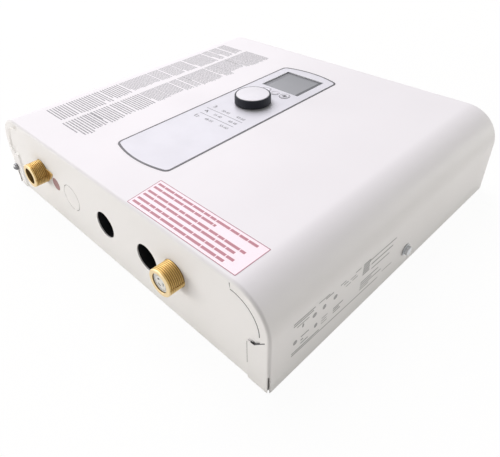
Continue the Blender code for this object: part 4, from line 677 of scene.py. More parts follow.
def weld(work):
    """Joins the points that lie in one place."""
    bmesh.ops.remove_doubles(work, verts=work.verts, dist=WELD_DISTANCE)
    turn_faces_out(work)


def round_lug_edges(work):
    bmesh.ops.bevel(work, geom=work.edges[:], affect="EDGES", offset=LUG_EDGE,
                    segments=LUG_EDGE_STEPS, profile=LUG_EDGE_PROFILE)


def on_front(x, y, lift=PRINT_LIFT):
    """A point on the cover's front, rolled over its side corners where x runs past them."""
    past = abs(x) - CORNER_X
    if past <= 0:
        return (x, y, CASE_DEPTH + lift)
    turn = past / CORNER_RADIUS
    reach = CORNER_RADIUS + lift
    side = math.copysign(1, x)
    return (side * (CORNER_X + reach * math.sin(turn)), y, CORNER_Z + reach * math.cos(turn))


def on_panel(x, y):
    return (x, y, PANEL_TOP + PRINT_LIFT)


def on_key(x, y):
    return (x, y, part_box("key_3")[1][2] + PRINT_LIFT)


def on_end(x, z):
    """A point on the bottom end wall's outer face."""
    return (x, WALL_FACE - PRINT_LIFT, z)


def on_side(along, up):
    """A point on the cover's right side: along runs up the case, and up runs out from the wall."""
    return (HALF_WIDTH + PRINT_LIFT, along, up)


def patches(name, quads, surface, material, body, steps=1):
    """Flat print made of four-cornered patches, laid on a surface. steps splits each one across."""
    points = []
    faces = []
    for quad in quads:
        a, b, c, d = [Vector(corner) for corner in quad]
        for step in range(steps):
            left = step / steps
            right = (step + 1) / steps
            corners = (a.lerp(b, left), a.lerp(b, right), d.lerp(c, right), d.lerp(c, left))
            start = len(points)
            points += [surface(corner[0], corner[1]) for corner in corners]
            faces.append(tuple(range(start, start + 4)))
    mesh_piece(name, points, faces, material, body)


def bar(x_low, y_low, x_high, y_high):
    return ((x_low, y_low), (x_high, y_low), (x_high, y_high), (x_low, y_high))


def stroke(start, end, width):
    """A straight line of a given width as one patch."""
    a = Vector(start)
    b = Vector(end)
    side = (b - a).normalized().orthogonal() * width / 2
    return (a - side, b - side, b + side, a + side)


def arc(centre, radius, start, end, steps):
    """Points on an arc, as (across, up) pairs."""
    points = []
    for step in range(steps + 1):
        turn = start + (end - start) * step / steps
        points.append((centre[0] + radius * math.cos(turn), centre[1] + radius * math.sin(turn)))
    return points


def mirrored(half):
    return half + [(-x, y) for x, y in reversed(half)]


def ring_faces(first, second, count):
    """Four-cornered faces between two closed rings of points, each given by the index where it starts."""
    faces = []
    for i in range(count):
        j = (i + 1) % count
        faces.append((first + i, first + j, second + j, second + i))
    return faces


def loop_faces(rows, count):
    """Faces between each ring and the next, and between the last ring and the first."""
    faces = []
    for row in range(rows):
        faces += ring_faces(row * count, (row + 1) % rows * count, count)
    return faces


# Cover

def panel_outline(inset):
    """The panel's edge about its own centre: straight sides, bowed ends and rounded corners."""
    half_width = PANEL_WIDTH / 2 - inset
    half_length = PANEL_LENGTH / 2 - inset
    corner = PANEL_CORNER - inset
    bow_radius = (half_width ** 2 + PANEL_BOW ** 2) / (2 * PANEL_BOW)
    bow_centre = half_length - bow_radius
    corner_x = half_width - corner
    corner_y = bow_centre + math.sqrt((bow_radius - corner) ** 2 - corner_x ** 2)
    meet = math.atan2(corner_y - bow_centre, corner_x)
    top = arc((corner_x, corner_y), corner, 0, meet, CORNER_STEPS // 2)
    top += arc((0, bow_centre), bow_radius, meet, math.pi / 2, CORNER_STEPS // 2)[1:]
    quarter = top + [(-x, y) for x, y in reversed(top[:-1])]
    around = quarter + [(-x, -y) for x, y in quarter]
    return [(x + PANEL_X, y + PANEL_Y) for x, y in around]


def cover_section(inset):
    """The cover's section moved inwards, from one foot over the front to the other."""
    radius = CORNER_RADIUS - inset
    right = arc(CORNER_CENTRE, radius, 0, math.pi / 2, CORNER_STEPS)
    return mirrored([(HALF_WIDTH - inset, COVER_FOOT)] + right)


def cover_rows():
    """(inset, y) for each row of the cover's surface, from the lip at one end to the lip at the other."""
    rows = [(TAB_WIDTH, -HALF_HEIGHT)]
    centre = (EDGE_RADIUS, -HALF_HEIGHT + EDGE_RADIUS)
    rows += arc(centre, EDGE_RADIUS, 1.5 * math.pi, math.pi, EDGE_STEPS)
    return rows + [(inset, -y) for inset, y in reversed(rows)]


def lip_opening():
    """What is cut out of each end's lip: the room between the tabs, and the mitre beside each tab."""
    mitre_back = (MITRE_HIGH[0] - MITRE_SHIFT, MITRE_HIGH[1] + MITRE_SHIFT)
    return mirrored([
        (TAB_X, -CUT_OVERRUN),
        (TAB_X, TAB_TOP),
        MITRE_LOW,
        MITRE_HIGH,
        mitre_back,
        (LIP_X, mitre_back[1] - (mitre_back[0] - LIP_X)),
        *arc(CORNER_CENTRE, LIP_RADIUS, 0, math.pi / 2, LIP_STEPS),
        (CORNER_X, LIP_TOP),
    ])


def prism(outline, low, high, place):
    """A closed solid between two copies of an outline. place turns (across, up, along) into a point."""
    points = [place(a, b, along) for along in (low, high) for a, b in outline]
    count = len(outline)
    faces = [tuple(range(count)), tuple(range(2 * count - 1, count - 1, -1))]
    faces += ring_faces(count, 0, count)
    mesh = bpy.data.meshes.new("prism")
    mesh.from_pydata(points, [], faces)
    rework(mesh, turn_faces_out)
    return in_scene("prism", mesh)


def along_y(x, z, y):
    return (x, y, z)


def along_z(x, y, z):
    return (x, y, z)


def along_x(y, z, x):
    return (x, y, z)


def slit_outline(side, end):
    """The slit that a bender leaves at the foot of a folded corner, seen from the front."""
    reach = EDGE_RADIUS * (1 - math.sqrt(0.5))
    middle = Vector((side * (HALF_WIDTH - reach), end * (HALF_HEIGHT - reach)))
    out = Vector((side, end)).normalized() * SLIT_REACH / 2
    across = Vector((-end, side)).normalized() * SLIT_WIDTH / 2
    corners = (middle - out - across, middle + out - across, middle + out + across, middle - out + across)
    return [tuple(corner) for corner in corners]


def cover_cutters():
    """Everything that is cut out of the cover's folded sheet."""
    cutters = []
    inner = HALF_HEIGHT - SHEET - CUT_OVERRUN / 2
    outer = HALF_HEIGHT + CUT_OVERRUN
    for end in (-1, 1):
        cutters.append(prism(lip_opening(), *sorted((end * inner, end * outer)), along_y))
        for side in (-1, 1):
            cutters.append(prism(slit_outline(side, end), -CUT_OVERRUN, SLIT_LENGTH, along_z))
    cutters.append(prism(panel_outline(0), CASE_DEPTH - 2 * SHEET, CASE_DEPTH + SHEET, along_z))
    hole = arc(RIGHT_SCREW, RIGHT_SCREW_HOLE, 0, 2 * math.pi, HOLE_STEPS)[:-1]
    cutters.append(prism(hole, HALF_WIDTH - 2 * SHEET, HALF_WIDTH + SHEET, along_x))
    x, z = LEFT_SCREW
    slot = [(x - LEFT_SCREW_SLOT, -CUT_OVERRUN), (x + LEFT_SCREW_SLOT, -CUT_OVERRUN)]
    slot += arc((x, z), LEFT_SCREW_SLOT, 0, math.pi, HOLE_STEPS // 2)
    cutters.append(prism(slot, -HALF_HEIGHT - SHEET, -inner, along_y))
    return cutters


def cover(material):
    """The case's cover again, with finer bends than the CAD solid."""
    rows = cover_rows()
    points = [(x, y, z) for inset, y in rows for x, z in cover_section(inset)]
    count = len(points) // len(rows)
    faces = []
    for row in range(len(rows) - 1):
        for i in range(count - 1):
            a = row * count + i
            faces.append((a, a + 1, a + count + 1, a + count))
    shell = mesh_piece("cover_shell", points, faces, material, "cover")
    solid = shell.modifiers.new("sheet", "SOLIDIFY")
    solid.thickness = SHEET
    solid.offset = 1.0
    solid.use_even_offset = True
    cutters = cover_cutters()
    for number, cutter in enumerate(cutters):
        opening = shell.modifiers.new(f"opening_{number}", "BOOLEAN")
        opening.operation = "DIFFERENCE"
        opening.solver = "EXACT"
        opening.object = cutter
    bpy.context.view_layer.update()
    graph = bpy.context.evaluated_depsgraph_get()
    mesh = bpy.data.meshes.new_from_object(shell.evaluated_get(graph))
    shell.modifiers.clear()
    shell.data = mesh
    for cutter in cutters:
        bpy.data.objects.remove(cutter, do_unlink=True)
    mesh.materials.clear()
    mesh.materials.append(material)
    mesh.shade_smooth()
    mesh.set_sharp_from_angle(angle=COVER_SMOOTH_ANGLE)
    weighted = shell.modifiers.new("weighted", "WEIGHTED_NORMAL")
    weighted.keep_sharp = True
    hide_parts("cover")


def painted_strip(name, outline, side, end, material):
    """A thin strip on the end wall beside a folded lip, in one of the four corners: painted shade where
    dark, painted light where pale.
    """
    turned = [(side * x, z) for x, z in outline]
    low, high = sorted((end * (HALF_HEIGHT - STRIP_RECESS), end * (HALF_HEIGHT - SHEET)))
    piece = prism(turned, low, high, along_y)
    piece.name = name
    piece.data.materials.append(material)
    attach(piece, "cover")


def lip_path(inset):
    """The inner edge of a corner's lip and tab moved inwards, from the front to the foot."""
    return [
        (CORNER_X - 2 * CORNER_LIP, LIP_TOP - inset),
        (CORNER_X - inset, LIP_TOP - inset),
        (CORNER_X - inset, CORNER_Z + LIP_RADIUS - inset),
        *arc(CORNER_CENTRE, LIP_RADIUS - inset, math.pi / 2, 0, LIP_STEPS),
        (LIP_X - inset, TAB_TOP + MITRE_INSET - CORNER_LIP + inset),
        (MITRE_LOW[0] - inset, TAB_TOP + inset),
        (TAB_X - inset, TAB_TOP + inset),
        (TAB_X - inset, COVER_FOOT),
    ]


def sloped_painted_light(name, side, end, material):
    """A sloped strip of painted light from the edge of a corner's lip and tab down to the end wall."""
    points = []
    faces = []
    edge = lip_path(0)
    toe = lip_path(SLOPE_WIDTH)
    for (edge_x, edge_z), (toe_x, toe_z) in zip(edge, toe):
        points.append((side * edge_x, end * (HALF_HEIGHT - STRIP_RECESS), edge_z))
        points.append((side * toe_x, end * (-WALL_FACE + PRINT_LIFT), toe_z))
        points.append((side * edge_x, end * (-WALL_FACE + PRINT_LIFT), edge_z))
    for start in range(0, len(points) - 3, 3):
        for i in range(3):
            j = (i + 1) % 3
            faces.append((start + i, start + j, start + 3 + j, start + 3 + i))
    faces += [(0, 1, 2), (len(points) - 1, len(points) - 2, len(points) - 3)]
    piece = mesh_piece(name, points, faces, material, "cover")
    rework(piece.data, weld)


def corner_painted_strips():
    """Strips of painted shade along the right corners' lips, tabs and mitres, and pale strips of painted
    light at the left corners.
    """
    lip = arc(CORNER_CENTRE, LIP_RADIUS, 0, math.pi / 2, LIP_STEPS)
    lip += [(CORNER_X, LIP_TOP), (CORNER_X - SHADE_STRIP_WIDTH, LIP_TOP)]
    lip += arc(CORNER_CENTRE, LIP_RADIUS - SHADE_STRIP_WIDTH, math.pi / 2, 0, LIP_STEPS)
    tab = bar(TAB_X - TAB_SHADE_WIDTH, TAB_SHADE_LOW, TAB_X, TAB_SHADE_HIGH)
    mitre = [MITRE_LOW, MITRE_HIGH]
    mitre += [(x - MITRE_SHIFT, z + MITRE_SHIFT) for x, z in reversed(mitre)]
    # Painted shade: black, dark and grey strips where the gaps at the right corners lie in shade. Painted
    # light: pale strips over the left corners' steps
    black = moulded_plastic("painted_shade_black", PAINTED_SHADE_BLACK)
    dark = moulded_plastic("painted_shade_dark", PAINTED_SHADE_DARK)
    grey = moulded_plastic("painted_shade_grey", PAINTED_SHADE_GREY)
    pale = moulded_plastic("painted_light_pale", PAINTED_LIGHT_PALE)
    for end in (-1, 1):
        place = "bottom" if end < 0 else "top"
        painted_strip("lip_painted_shade_" + place, lip, 1, end, dark)
        painted_strip("tab_painted_shade_" + place, tab, 1, end, grey)
        painted_strip("mitre_painted_shade_" + place, mitre, 1, end, dark)
        painted_strip("wedge_painted_shade_" + place, WEDGE, 1, end, black)
        painted_strip("left_mitre_painted_light_" + place, mitre, -1, end, pale)
        sloped_painted_light("left_lip_painted_light_" + place, -1, end, pale)


# Fittings

def thread_profile(phase):
    """Radius of a 60 degree thread at a share of its pitch: crest, flank, root, flank."""
    crest = THREAD_CREST_SHARE
    flank = THREAD_FLANK_SHARE
    if phase < crest:
        share = 0.0
    elif phase < crest + flank:
        share = (phase - crest) / flank
    elif phase < 2 * crest + flank:
        share = 1.0
    else:
        share = (1.0 - phase) / (1.0 - 2 * crest - flank)
    return THREAD_RADIUS - THREAD_DEPTH * share


def thread_point(phase, lead):
    """Radius and y of one point of the thread: phase in turns along it, lead as the share of a turn."""
    y = FITTING_TIP + (phase + lead) * THREAD_PITCH
    y = min(max(y, FITTING_TIP), THREAD_END)
    depth = min(max((y - FITTING_TIP - RIM_LENGTH) / RUN_IN, 0.0), 1.0)
    radius = THREAD_RADIUS - depth * (THREAD_RADIUS - thread_profile(phase % 1.0))
    limit = THREAD_RADIUS - max(0.0, FITTING_CHAMFER - (y - FITTING_TIP))
    return min(radius, limit), y


def fitting_rows():
    """Rings of (radius, y): from the tip over the thread, shoulder and tail, and back through the bore."""
    rows = []
    turns = (THREAD_END - FITTING_TIP) / THREAD_PITCH
    count = math.ceil((turns + 1) * THREAD_STEPS)
    for step in range(-THREAD_STEPS, count + 1):
        phase = step / THREAD_STEPS
        rows.append([thread_point(phase, side / THREAD_SIDES) for side in range(THREAD_SIDES)])
    edge = FITTING_CHAMFER / 2
    back = [
        (THREAD_RADIUS - THREAD_DEPTH, THREAD_END),
        (THREAD_RADIUS - THREAD_DEPTH, SHOULDER_NEAR),
        (SHOULDER_RADIUS, SHOULDER_NEAR),
        (SHOULDER_RADIUS, SHOULDER_FAR),
        (TAIL_RADIUS, SHOULDER_FAR),
        (TAIL_RADIUS, TAIL_END),
        (FITTING_BORE, TAIL_END),
        (FITTING_BORE, FITTING_TIP + FITTING_LIP_LENGTH + edge),
        (FITTING_LIP, FITTING_TIP + FITTING_LIP_LENGTH),
        (FITTING_LIP, FITTING_TIP + edge),
        (FITTING_LIP + edge, FITTING_TIP),
    ]
    return rows + [[pair] * THREAD_SIDES for pair in back]


def threaded_fitting(node, place):
    """The fitting with a real helical thread from its chamfered tip to the end wall."""
    x, z = place
    rows = fitting_rows()
    points = []
    for row in rows:
        for side, (radius, y) in enumerate(row):
            turn = 2 * math.pi * side / THREAD_SIDES
            points.append((x + radius * math.cos(turn), y, z + radius * math.sin(turn)))
    faces = loop_faces(len(rows), THREAD_SIDES)
    brass = thread_brass(node + "_brass", place)
    obj = mesh_piece(node + "_threaded", points, faces, brass, "chassis")
    rework(obj.data, weld)
    obj.data.shade_smooth()
    obj.data.set_sharp_from_angle(angle=BRASS_SMOOTH_ANGLE)
    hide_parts(node)


def fitting_lug(name, place):
    """A small tapered lug that lies on the end wall beside the hot outlet."""
    outline = [(place[0] + across, place[1] + up) for across, up in LUG_OUTLINE]
    solid = prism(outline, WALL_FACE - LUG_THICK, WALL_FACE, along_y)
    rework(solid.data, round_lug_edges)
    solid.name = name
    solid.data.materials.append(thread_brass(name + "_brass", place))
    solid.data.shade_smooth()
    solid.data.set_sharp_from_angle(angle=BRASS_SMOOTH_ANGLE)
    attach(solid, "chassis")


# Printing

# The legend's lines and signs, each line as its two ends. A sign's points are relative to its centre
LEGEND_LINES = (((-0.0347, -0.0158), (0.0206, -0.0160)), ((-0.0322, -0.0289), (0.0203, -0.0290)))
LINE_WIDTH = 0.0006
TAP_LINE_WIDTH = 0.0008
LEGEND_NUMBERS = (
    ("30-42", -0.0165, -0.0117), ("43-60", 0.0062, -0.0117), ("35-40", -0.0168, -0.0242),
    ("40-48", 0.0062, -0.0242), ("48-55", -0.0168, -0.0372), ("55-60", 0.0062, -0.0372),
)
NUMBER_SIZE = 0.0053
SHOWER_PLACE = (-0.0289, -0.0086)
SHOWER_ARM = (((-0.0030, 0.0028), (0.0006, 0.0028)), ((0.0006, 0.0031), (0.0006, 0.0008)))
SHOWER_HEAD = (-0.0014, 0.0002, 0.0026, 0.0012)
SHOWER_DROPS = (-0.0010, 0.0006, 0.0022)
DROP_HEIGHTS = (-0.0006, -0.0026)
TAP_PLACE = (-0.0284, -0.0228)
TAP_HANDLE = (((-0.0016, 0.0026), (0.0012, 0.0026)), ((-0.0002, 0.0026), (-0.0002, 0.0010)))
TAP_BODY = (-0.0028, -0.0004, 0.0014, 0.0012)
TAP_SPOUT = (((0.0014, 0.0006), (0.0024, -0.0006)), ((0.0024, -0.0004), (0.0024, -0.0022)))
BATH_PLACE = (-0.0286, -0.0363)
BATH_LINES = (
    ((-0.0034, 0.0004), (0.0034, 0.0004)), ((-0.0028, 0), (-0.0020, -0.0022)),
    ((0.0028, 0), (0.0020, -0.0022)), ((-0.0021, -0.0022), (0.0021, -0.0022)),
    ((-0.0016, -0.0022), (-0.0020, -0.0030)), ((0.0016, -0.0022), (0.0020, -0.0030)),
    ((-0.0026, 0.0004), (-0.0026, 0.0026)), ((-0.0026, 0.0026), (-0.0010, 0.0026)),
)
NOTICE_CORNERS = ((0.0422, -0.1421), (0.1729, -0.1426), (0.1726, -0.1793), (0.0461, -0.1812))
NOTICE_LINE = 0.0007
NOTICE_STEPS = 96
# The notice's rules as (share of its height from the top, share of its width where the rule ends)
NOTICE_RULES = (
    (0.115, 0.935), (0.255, 0.625), (0.430, 0.920), (0.570, 0.875), (0.735, 0.915), (0.880, 0.875),
)
NOTICE_RULE_HEIGHT = 0.0027
NOTICE_DASH = (0.006, 0.017)
NOTICE_GAP = 0.0008
NOTICE_MARGIN_SHARE = 0.018
NOTICE_SEED = 3
FRONT_LEFT = (-0.1686, -0.1300)
FRONT_RIGHT = (-0.1252, -0.0812)
# Groups of rules on the front, as (top, bottom, share of the column's width)
FRONT_LEFT_GROUPS = (
    (0.139, 0.128, 1.0), (0.122, 0.11, 1.0), (0.106, 0.096, 1.0), (0.092, 0.062, 1.0),
    (0.056, 0.039, 0.95), (0.036, 0.02, 0.92), (0.015, 0.001, 0.93), (-0.003, -0.043, 0.87),
    (-0.048, -0.073, 0.93), (-0.0765, -0.084, 1.0), (-0.0875, -0.119, 1.0), (-0.1225, -0.1435, 0.96),
)
FRONT_RIGHT_GROUPS = (
    (0.142, 0.11, 1.0), (0.108, 0.102, 0.95), (0.1, 0.076, 0.84), (0.074, 0.061, 1.0),
    (0.058, 0.025, 0.95), (0.023, 0.015, 0.9), (0.0115, 0.001, 0.86), (-0.002, -0.022, 0.8),
    (-0.024, -0.042, 0.84), (-0.047, -0.072, 0.87), (-0.0755, -0.087, 0.86), (-0.0905, -0.104, 0.9),
    (-0.1075, -0.11, 0.93), (-0.1125, -0.119, 0.88), (-0.122, -0.129, 0.92), (-0.1325, -0.144, 1.0),
    (-0.1465, -0.1475, 0.95),
)
COARSE_BELOW = -0.045
COARSE_RULE = (0.0034, 0.0015)
FINE_RULE = (0.0024, 0.00105)
DASH = (0.0022, 0.0085)
DASH_GAP = 0.0005
ROW_END_SHARES = (0.93, 1.0)
SHORT_ROW_CHANCE = 0.6
SHORT_ROW_SHARES = (0.45, 0.9)
LEFT_SEED = 5
RIGHT_SEED = 9
# Rules on the right side, as (start, end, height over the back, thickness)
SIDE_RULES = (
    (-0.1583, -0.1333, 0.0572, 0.001), (-0.1583, -0.135, 0.0548, 0.001),
    (-0.1289, -0.115, 0.0572, 0.0008), (-0.12, -0.11, 0.0552, 0.001), (-0.101, -0.0935, 0.056, 0.0008),
    (-0.08, -0.072, 0.0555, 0.0008), (-0.1544, -0.14, 0.0515, 0.0008),
    (-0.1489, -0.1394, 0.0362, 0.001), (-0.1489, -0.146, 0.0322, 0.0012),
    (-0.1489, -0.14, 0.0285, 0.001), (-0.1233, -0.1156, 0.0355, 0.0007),
    (-0.1233, -0.1166, 0.0325, 0.0007), (-0.1233, -0.116, 0.0295, 0.0007),
    (-0.1078, -0.0944, 0.0345, 0.001), (-0.1078, -0.1, 0.0322, 0.001), (-0.1078, -0.098, 0.0296, 0.001),
    (-0.1594, -0.1256, 0.0245, 0.001), (-0.1594, -0.135, 0.0222, 0.001),
    (-0.135, -0.04, 0.0222, 0.0008), (-0.0589, -0.0167, 0.0546, 0.001),
    (-0.0556, -0.0211, 0.0486, 0.0012), (-0.0544, -0.0256, 0.0425, 0.001),
    (-0.0694, -0.0422, 0.0358, 0.001), (-0.0694, -0.0522, 0.033, 0.001),
    (-0.0694, -0.0367, 0.0302, 0.0009), (-0.0694, -0.056, 0.0275, 0.0009),
    (-0.0333, -0.0167, 0.025, 0.0007), (-0.0685, -0.058, 0.056, 0.0012),
    (-0.0685, -0.058, 0.0537, 0.0012), (-0.0685, -0.059, 0.0514, 0.0012),
    (-0.0685, -0.058, 0.0491, 0.0012), (-0.0685, -0.0585, 0.0468, 0.0012),
    (-0.0685, -0.058, 0.0445, 0.0012), (-0.096, -0.09, 0.053, 0.0008), (-0.087, -0.079, 0.0525, 0.0007),
    (-0.093, -0.086, 0.049, 0.0007), (-0.084, -0.076, 0.0495, 0.0007),
)
# Filled marks among them, as (centre along, height, half width, half height)
SIDE_MARKS = (
    (-0.1472, 0.048, 0.0012, 0.0022), (-0.1333, 0.048, 0.0026, 0.0024),
    (-0.1211, 0.0476, 0.0022, 0.0026), (-0.1067, 0.0476, 0.0026, 0.0024),
    (-0.1556, 0.0355, 0.0024, 0.0024), (-0.1306, 0.034, 0.0021, 0.0024),
)
SIDE_MARK_STEPS = 24
SIDE_RULE_SCALE = 1.35
SIDE_SLOPE = -0.028
SIDE_START = -0.1594


def sign(place, lines, width):
    """Lines of one sign about its centre."""
    x, y = place
    return [stroke((x + a[0], y + a[1]), (x + b[0], y + b[1]), width) for a, b in lines]


def block(place, box):
    """A filled block of a sign about its centre."""
    x, y = place
    return bar(x + box[0], y + box[1], x + box[2], y + box[3])


def sign_of_shower():
    """A shower head on its arm, with three drops."""
    high, low = DROP_HEIGHTS
    drops = [((across, high), (across, low)) for across in SHOWER_DROPS]
    arm = sign(SHOWER_PLACE, SHOWER_ARM, LINE_WIDTH)
    return arm + [block(SHOWER_PLACE, SHOWER_HEAD)] + sign(SHOWER_PLACE, drops, LINE_WIDTH)


def sign_of_tap():
    """A tap: a handle, a body and a spout that turns down."""
    handle = sign(TAP_PLACE, TAP_HANDLE, TAP_LINE_WIDTH)
    return handle + [block(TAP_PLACE, TAP_BODY)] + sign(TAP_PLACE, TAP_SPOUT, TAP_LINE_WIDTH)


def sign_of_bath():
    """A bath tub on two feet."""
    return sign(BATH_PLACE, BATH_LINES, LINE_WIDTH)


def legend():
    """Two lines, three signs and six ranges of numbers on the panel."""
    grey = ink("legend_ink", LEGEND_GREY)
    quads = [stroke(start, end, LINE_WIDTH) for start, end in LEGEND_LINES]
    patches("legend_lines", quads, on_panel, grey, "cover")
    for count, (words, x, y) in enumerate(LEGEND_NUMBERS, 1):
        number(f"legend_number_{count}", words, x, y, grey)
    signs = sign_of_shower() + sign_of_tap() + sign_of_bath()
    patches("legend_signs", signs, on_panel, grey, "cover")


def strip_ring(name, outer, inner, surface, material, body):
    """A printed ring between two outlines with the same number of points."""
    points = [surface(x, y) for x, y in outer] + [surface(x, y) for x, y in inner]
    count = len(outer)
    mesh_piece(name, points, ring_faces(0, count, count), material, body)


def circle(x, y, radius, steps=RING_STEPS):
    return arc((x, y), radius, 0, 2 * math.pi, steps)[:-1]


def panel_border():
    """The dark ring round the panel's edge: it stands on the cover and closes the gap beside the panel."""
    dark = moulded_plastic("border_dark_ring", BORDER_DARK)
    rows = (
        (-BORDER_OUTSIDE, CASE_DEPTH + PRINT_LIFT),
        (-BORDER_OUTSIDE + BORDER_ROUND, PANEL_TOP + PRINT_LIFT),
        (BORDER_INSIDE, PANEL_TOP + 2 * PRINT_LIFT),
        (BORDER_INSIDE, PANEL_TOP + PRINT_LIFT / 2),
    )
    points = [(x, y, z) for inset, z in rows for x, y in panel_outline(inset)]
    faces = loop_faces(len(rows), len(points) // len(rows))
    mesh_piece("panel_border", points, faces, dark, "cover", smooth=True)


def key_middle(count):
    low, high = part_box(f"key_{count}")
    return (low[0] + high[0]) / 2, (low[1] + high[1]) / 2


def key_rings():
    """A thin ring printed round the outer keys and on the middle one, and a small sign on the third."""
    grey = ink("ring_ink", RING_GREY)
    pale = ink("middle_ring_ink", MIDDLE_RING_PALE)
    for count in (1, 2, 3):
        x, y = key_middle(count)
        middle = count == 2
        radius = MIDDLE_RING if middle else KEY_RING
        surface, body = (on_key, "key_2") if middle else (on_panel, "cover")
        ring = (circle(x, y, radius), circle(x, y, radius - KEY_RING_LINE))
        strip_ring(f"key_ring_{count}", *ring, surface, pale if middle else grey, body)
    place = key_middle(3)
    dot = (-KEY_SIGN_DOT, -KEY_SIGN_DOT, KEY_SIGN_DOT, KEY_SIGN_DOT)
    quads = sign(place, KEY_SIGN, KEY_SIGN_LINE) + [block(place, dot)]
    patches("key_sign", quads, on_key, grey, "key_3")


def number(name, words, x, y, material):
    curve = bpy.data.curves.new(name, "FONT")
    curve.body = words
    curve.size = NUMBER_SIZE
    obj = in_scene(name, curve)
    obj.location = on_panel(x, y)
    curve.materials.append(material)
    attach(obj, "cover")


def between(corners, across, down):
    """A point inside four corners: across from left to right, and down from top to bottom."""
    top = Vector(corners[0]).lerp(Vector(corners[1]), across)
    low = Vector(corners[3]).lerp(Vector(corners[2]), across)
    return top.lerp(low, down)


def raised(x, y):
    return on_front(x, y, 2 * PRINT_LIFT)


def notice_frame():
    """A pale pink panel with a thin red frame and plain red rules, beside the right corner."""
    red = ink("notice_red", FRAME_RED)
    pink = ink("notice_ground", GROUND_PINK)
    corners = [Vector(corner) for corner in NOTICE_CORNERS]
    ground = [tuple(corners)]
    patches("notice_ground", ground, on_front, pink, "cover", NOTICE_STEPS)
    edges = [stroke(a, b, NOTICE_LINE) for a, b in zip(corners, corners[1:] + corners[:1])]
    patches("notice_edges", edges, raised, red, "cover", NOTICE_STEPS)
    chance = random.Random(NOTICE_SEED)
    rules = []
    for down, end in NOTICE_RULES:
        start = between(corners, NOTICE_MARGIN_SHARE, down)
        stop = between(corners, end, down)
        along = (stop - start).normalized()
        room = (stop - start).length
        at = 0.0
        while at < room:
            run = min(chance.uniform(*NOTICE_DASH), room - at)
            rules.append(stroke(start + along * at, start + along * (at + run), NOTICE_RULE_HEIGHT))
            at += run + NOTICE_GAP
    soft = ink("notice_rule_red", RULE_RED)
    patches("notice_rules", rules, raised, soft, "cover", NOTICE_STEPS)


def ruled_column(name, column, groups, material, seed):
    """Rows of short rules in groups. Each group has its own width. The rules are coarser near the foot."""
    chance = random.Random(seed)
    x_low, x_high = column
    quads = []
    for top, bottom, share in groups:
        pitch, height = COARSE_RULE if top < COARSE_BELOW else FINE_RULE
        y = top
        while y > bottom - pitch / 2:
            last = y - pitch <= bottom - pitch / 2
            end = x_low + (x_high - x_low) * share * chance.uniform(*ROW_END_SHARES)
            if last and chance.random() < SHORT_ROW_CHANCE:
                end = x_low + (end - x_low) * chance.uniform(*SHORT_ROW_SHARES)
            quads += row_of_dashes(chance, x_low, end, y, height)
            y -= pitch
    patches(name, quads, on_front, material, "cover")


def row_of_dashes(chance, start, end, y, height):
    """One row: short rules of uneven length with a little room between them."""
    quads = []
    x = start
    while x < end:
        run = min(chance.uniform(*DASH), end - x)
        quads.append(bar(x, y - height, x + run, y))
        x += run + DASH_GAP
    return quads


def front_print():
    grey = ink("print_grey", PRINT_GREY)
    ruled_column("front_rules_left", FRONT_LEFT, FRONT_LEFT_GROUPS, grey, LEFT_SEED)
    ruled_column("front_rules_right", FRONT_RIGHT, FRONT_RIGHT_GROUPS, grey, RIGHT_SEED)


def side_print():
    """Plain rules and marks on the right side, in a block that slopes a little."""
    grey = ink("side_grey", SIDE_GREY)
    quads = []
    for start, end, up, thick in SIDE_RULES:
        low = up + SIDE_SLOPE * (start - SIDE_START)
        high = up + SIDE_SLOPE * (end - SIDE_START)
        quads.append(stroke((start, low), (end, high), SIDE_RULE_SCALE * thick))
    patches("side_rules", quads, on_side, grey, "cover")
    points = []
    faces = []
    for along, up, half_width, half_height in SIDE_MARKS:
        middle = up + SIDE_SLOPE * (along - SIDE_START)
        start = len(points)
        for turn_along, turn_up in circle(0, 0, 1.0, SIDE_MARK_STEPS):
            points.append(on_side(along + half_width * turn_along, middle + half_height * turn_up))
        faces.append(tuple(range(start, len(points))))
    mesh_piece("side_marks", points, faces, grey, "cover")


def red_spot():
    """The red spot beside the hot outlet, on the bottom end wall."""
    red = ink("spot_red", SPOT_RED)
    points = [on_end(x, z) for x, z in circle(*SPOT, SPOT_RADIUS)]
    mesh_piece("hot_side_spot", points, [tuple(range(len(points)))], red, "chassis")


def knockout_line():
    """A thin dark line along one side of the knockout, where its cut lies in shade."""
    grey = ink("knockout_painted_shade", KNOCKOUT_SHADE_GREY)
    start, end = KNOCKOUT_TURNS
    outer = arc(KNOCKOUT, KNOCKOUT_RADIUS + KNOCKOUT_LINE / 2, start, end, CORNER_STEPS)
    inner = arc(KNOCKOUT, KNOCKOUT_RADIUS - KNOCKOUT_LINE / 2, start, end, CORNER_STEPS)
    quads = list(zip(outer, outer[1:], inner[1:], inner))
    patches("knockout_line", quads, on_end, grey, "chassis")


# Finishes for the CAD nodes

def dress(nodes, material):
    for node in nodes:
        for slot in frame["nodes"][node].material_slots:
            slot.material = material


def dress_sheet():
    dress(["bottom_end_wall", "top_end_wall", "back_panel"], powder_coat("chassis_white", PAINT))
    dress(["hot_fitting_bracket", "cold_fitting_bracket", "cylinder_bracket_lower",
           "cylinder_bracket_upper", "transformer"], rolled_steel("zinc_sheet", ZINC))


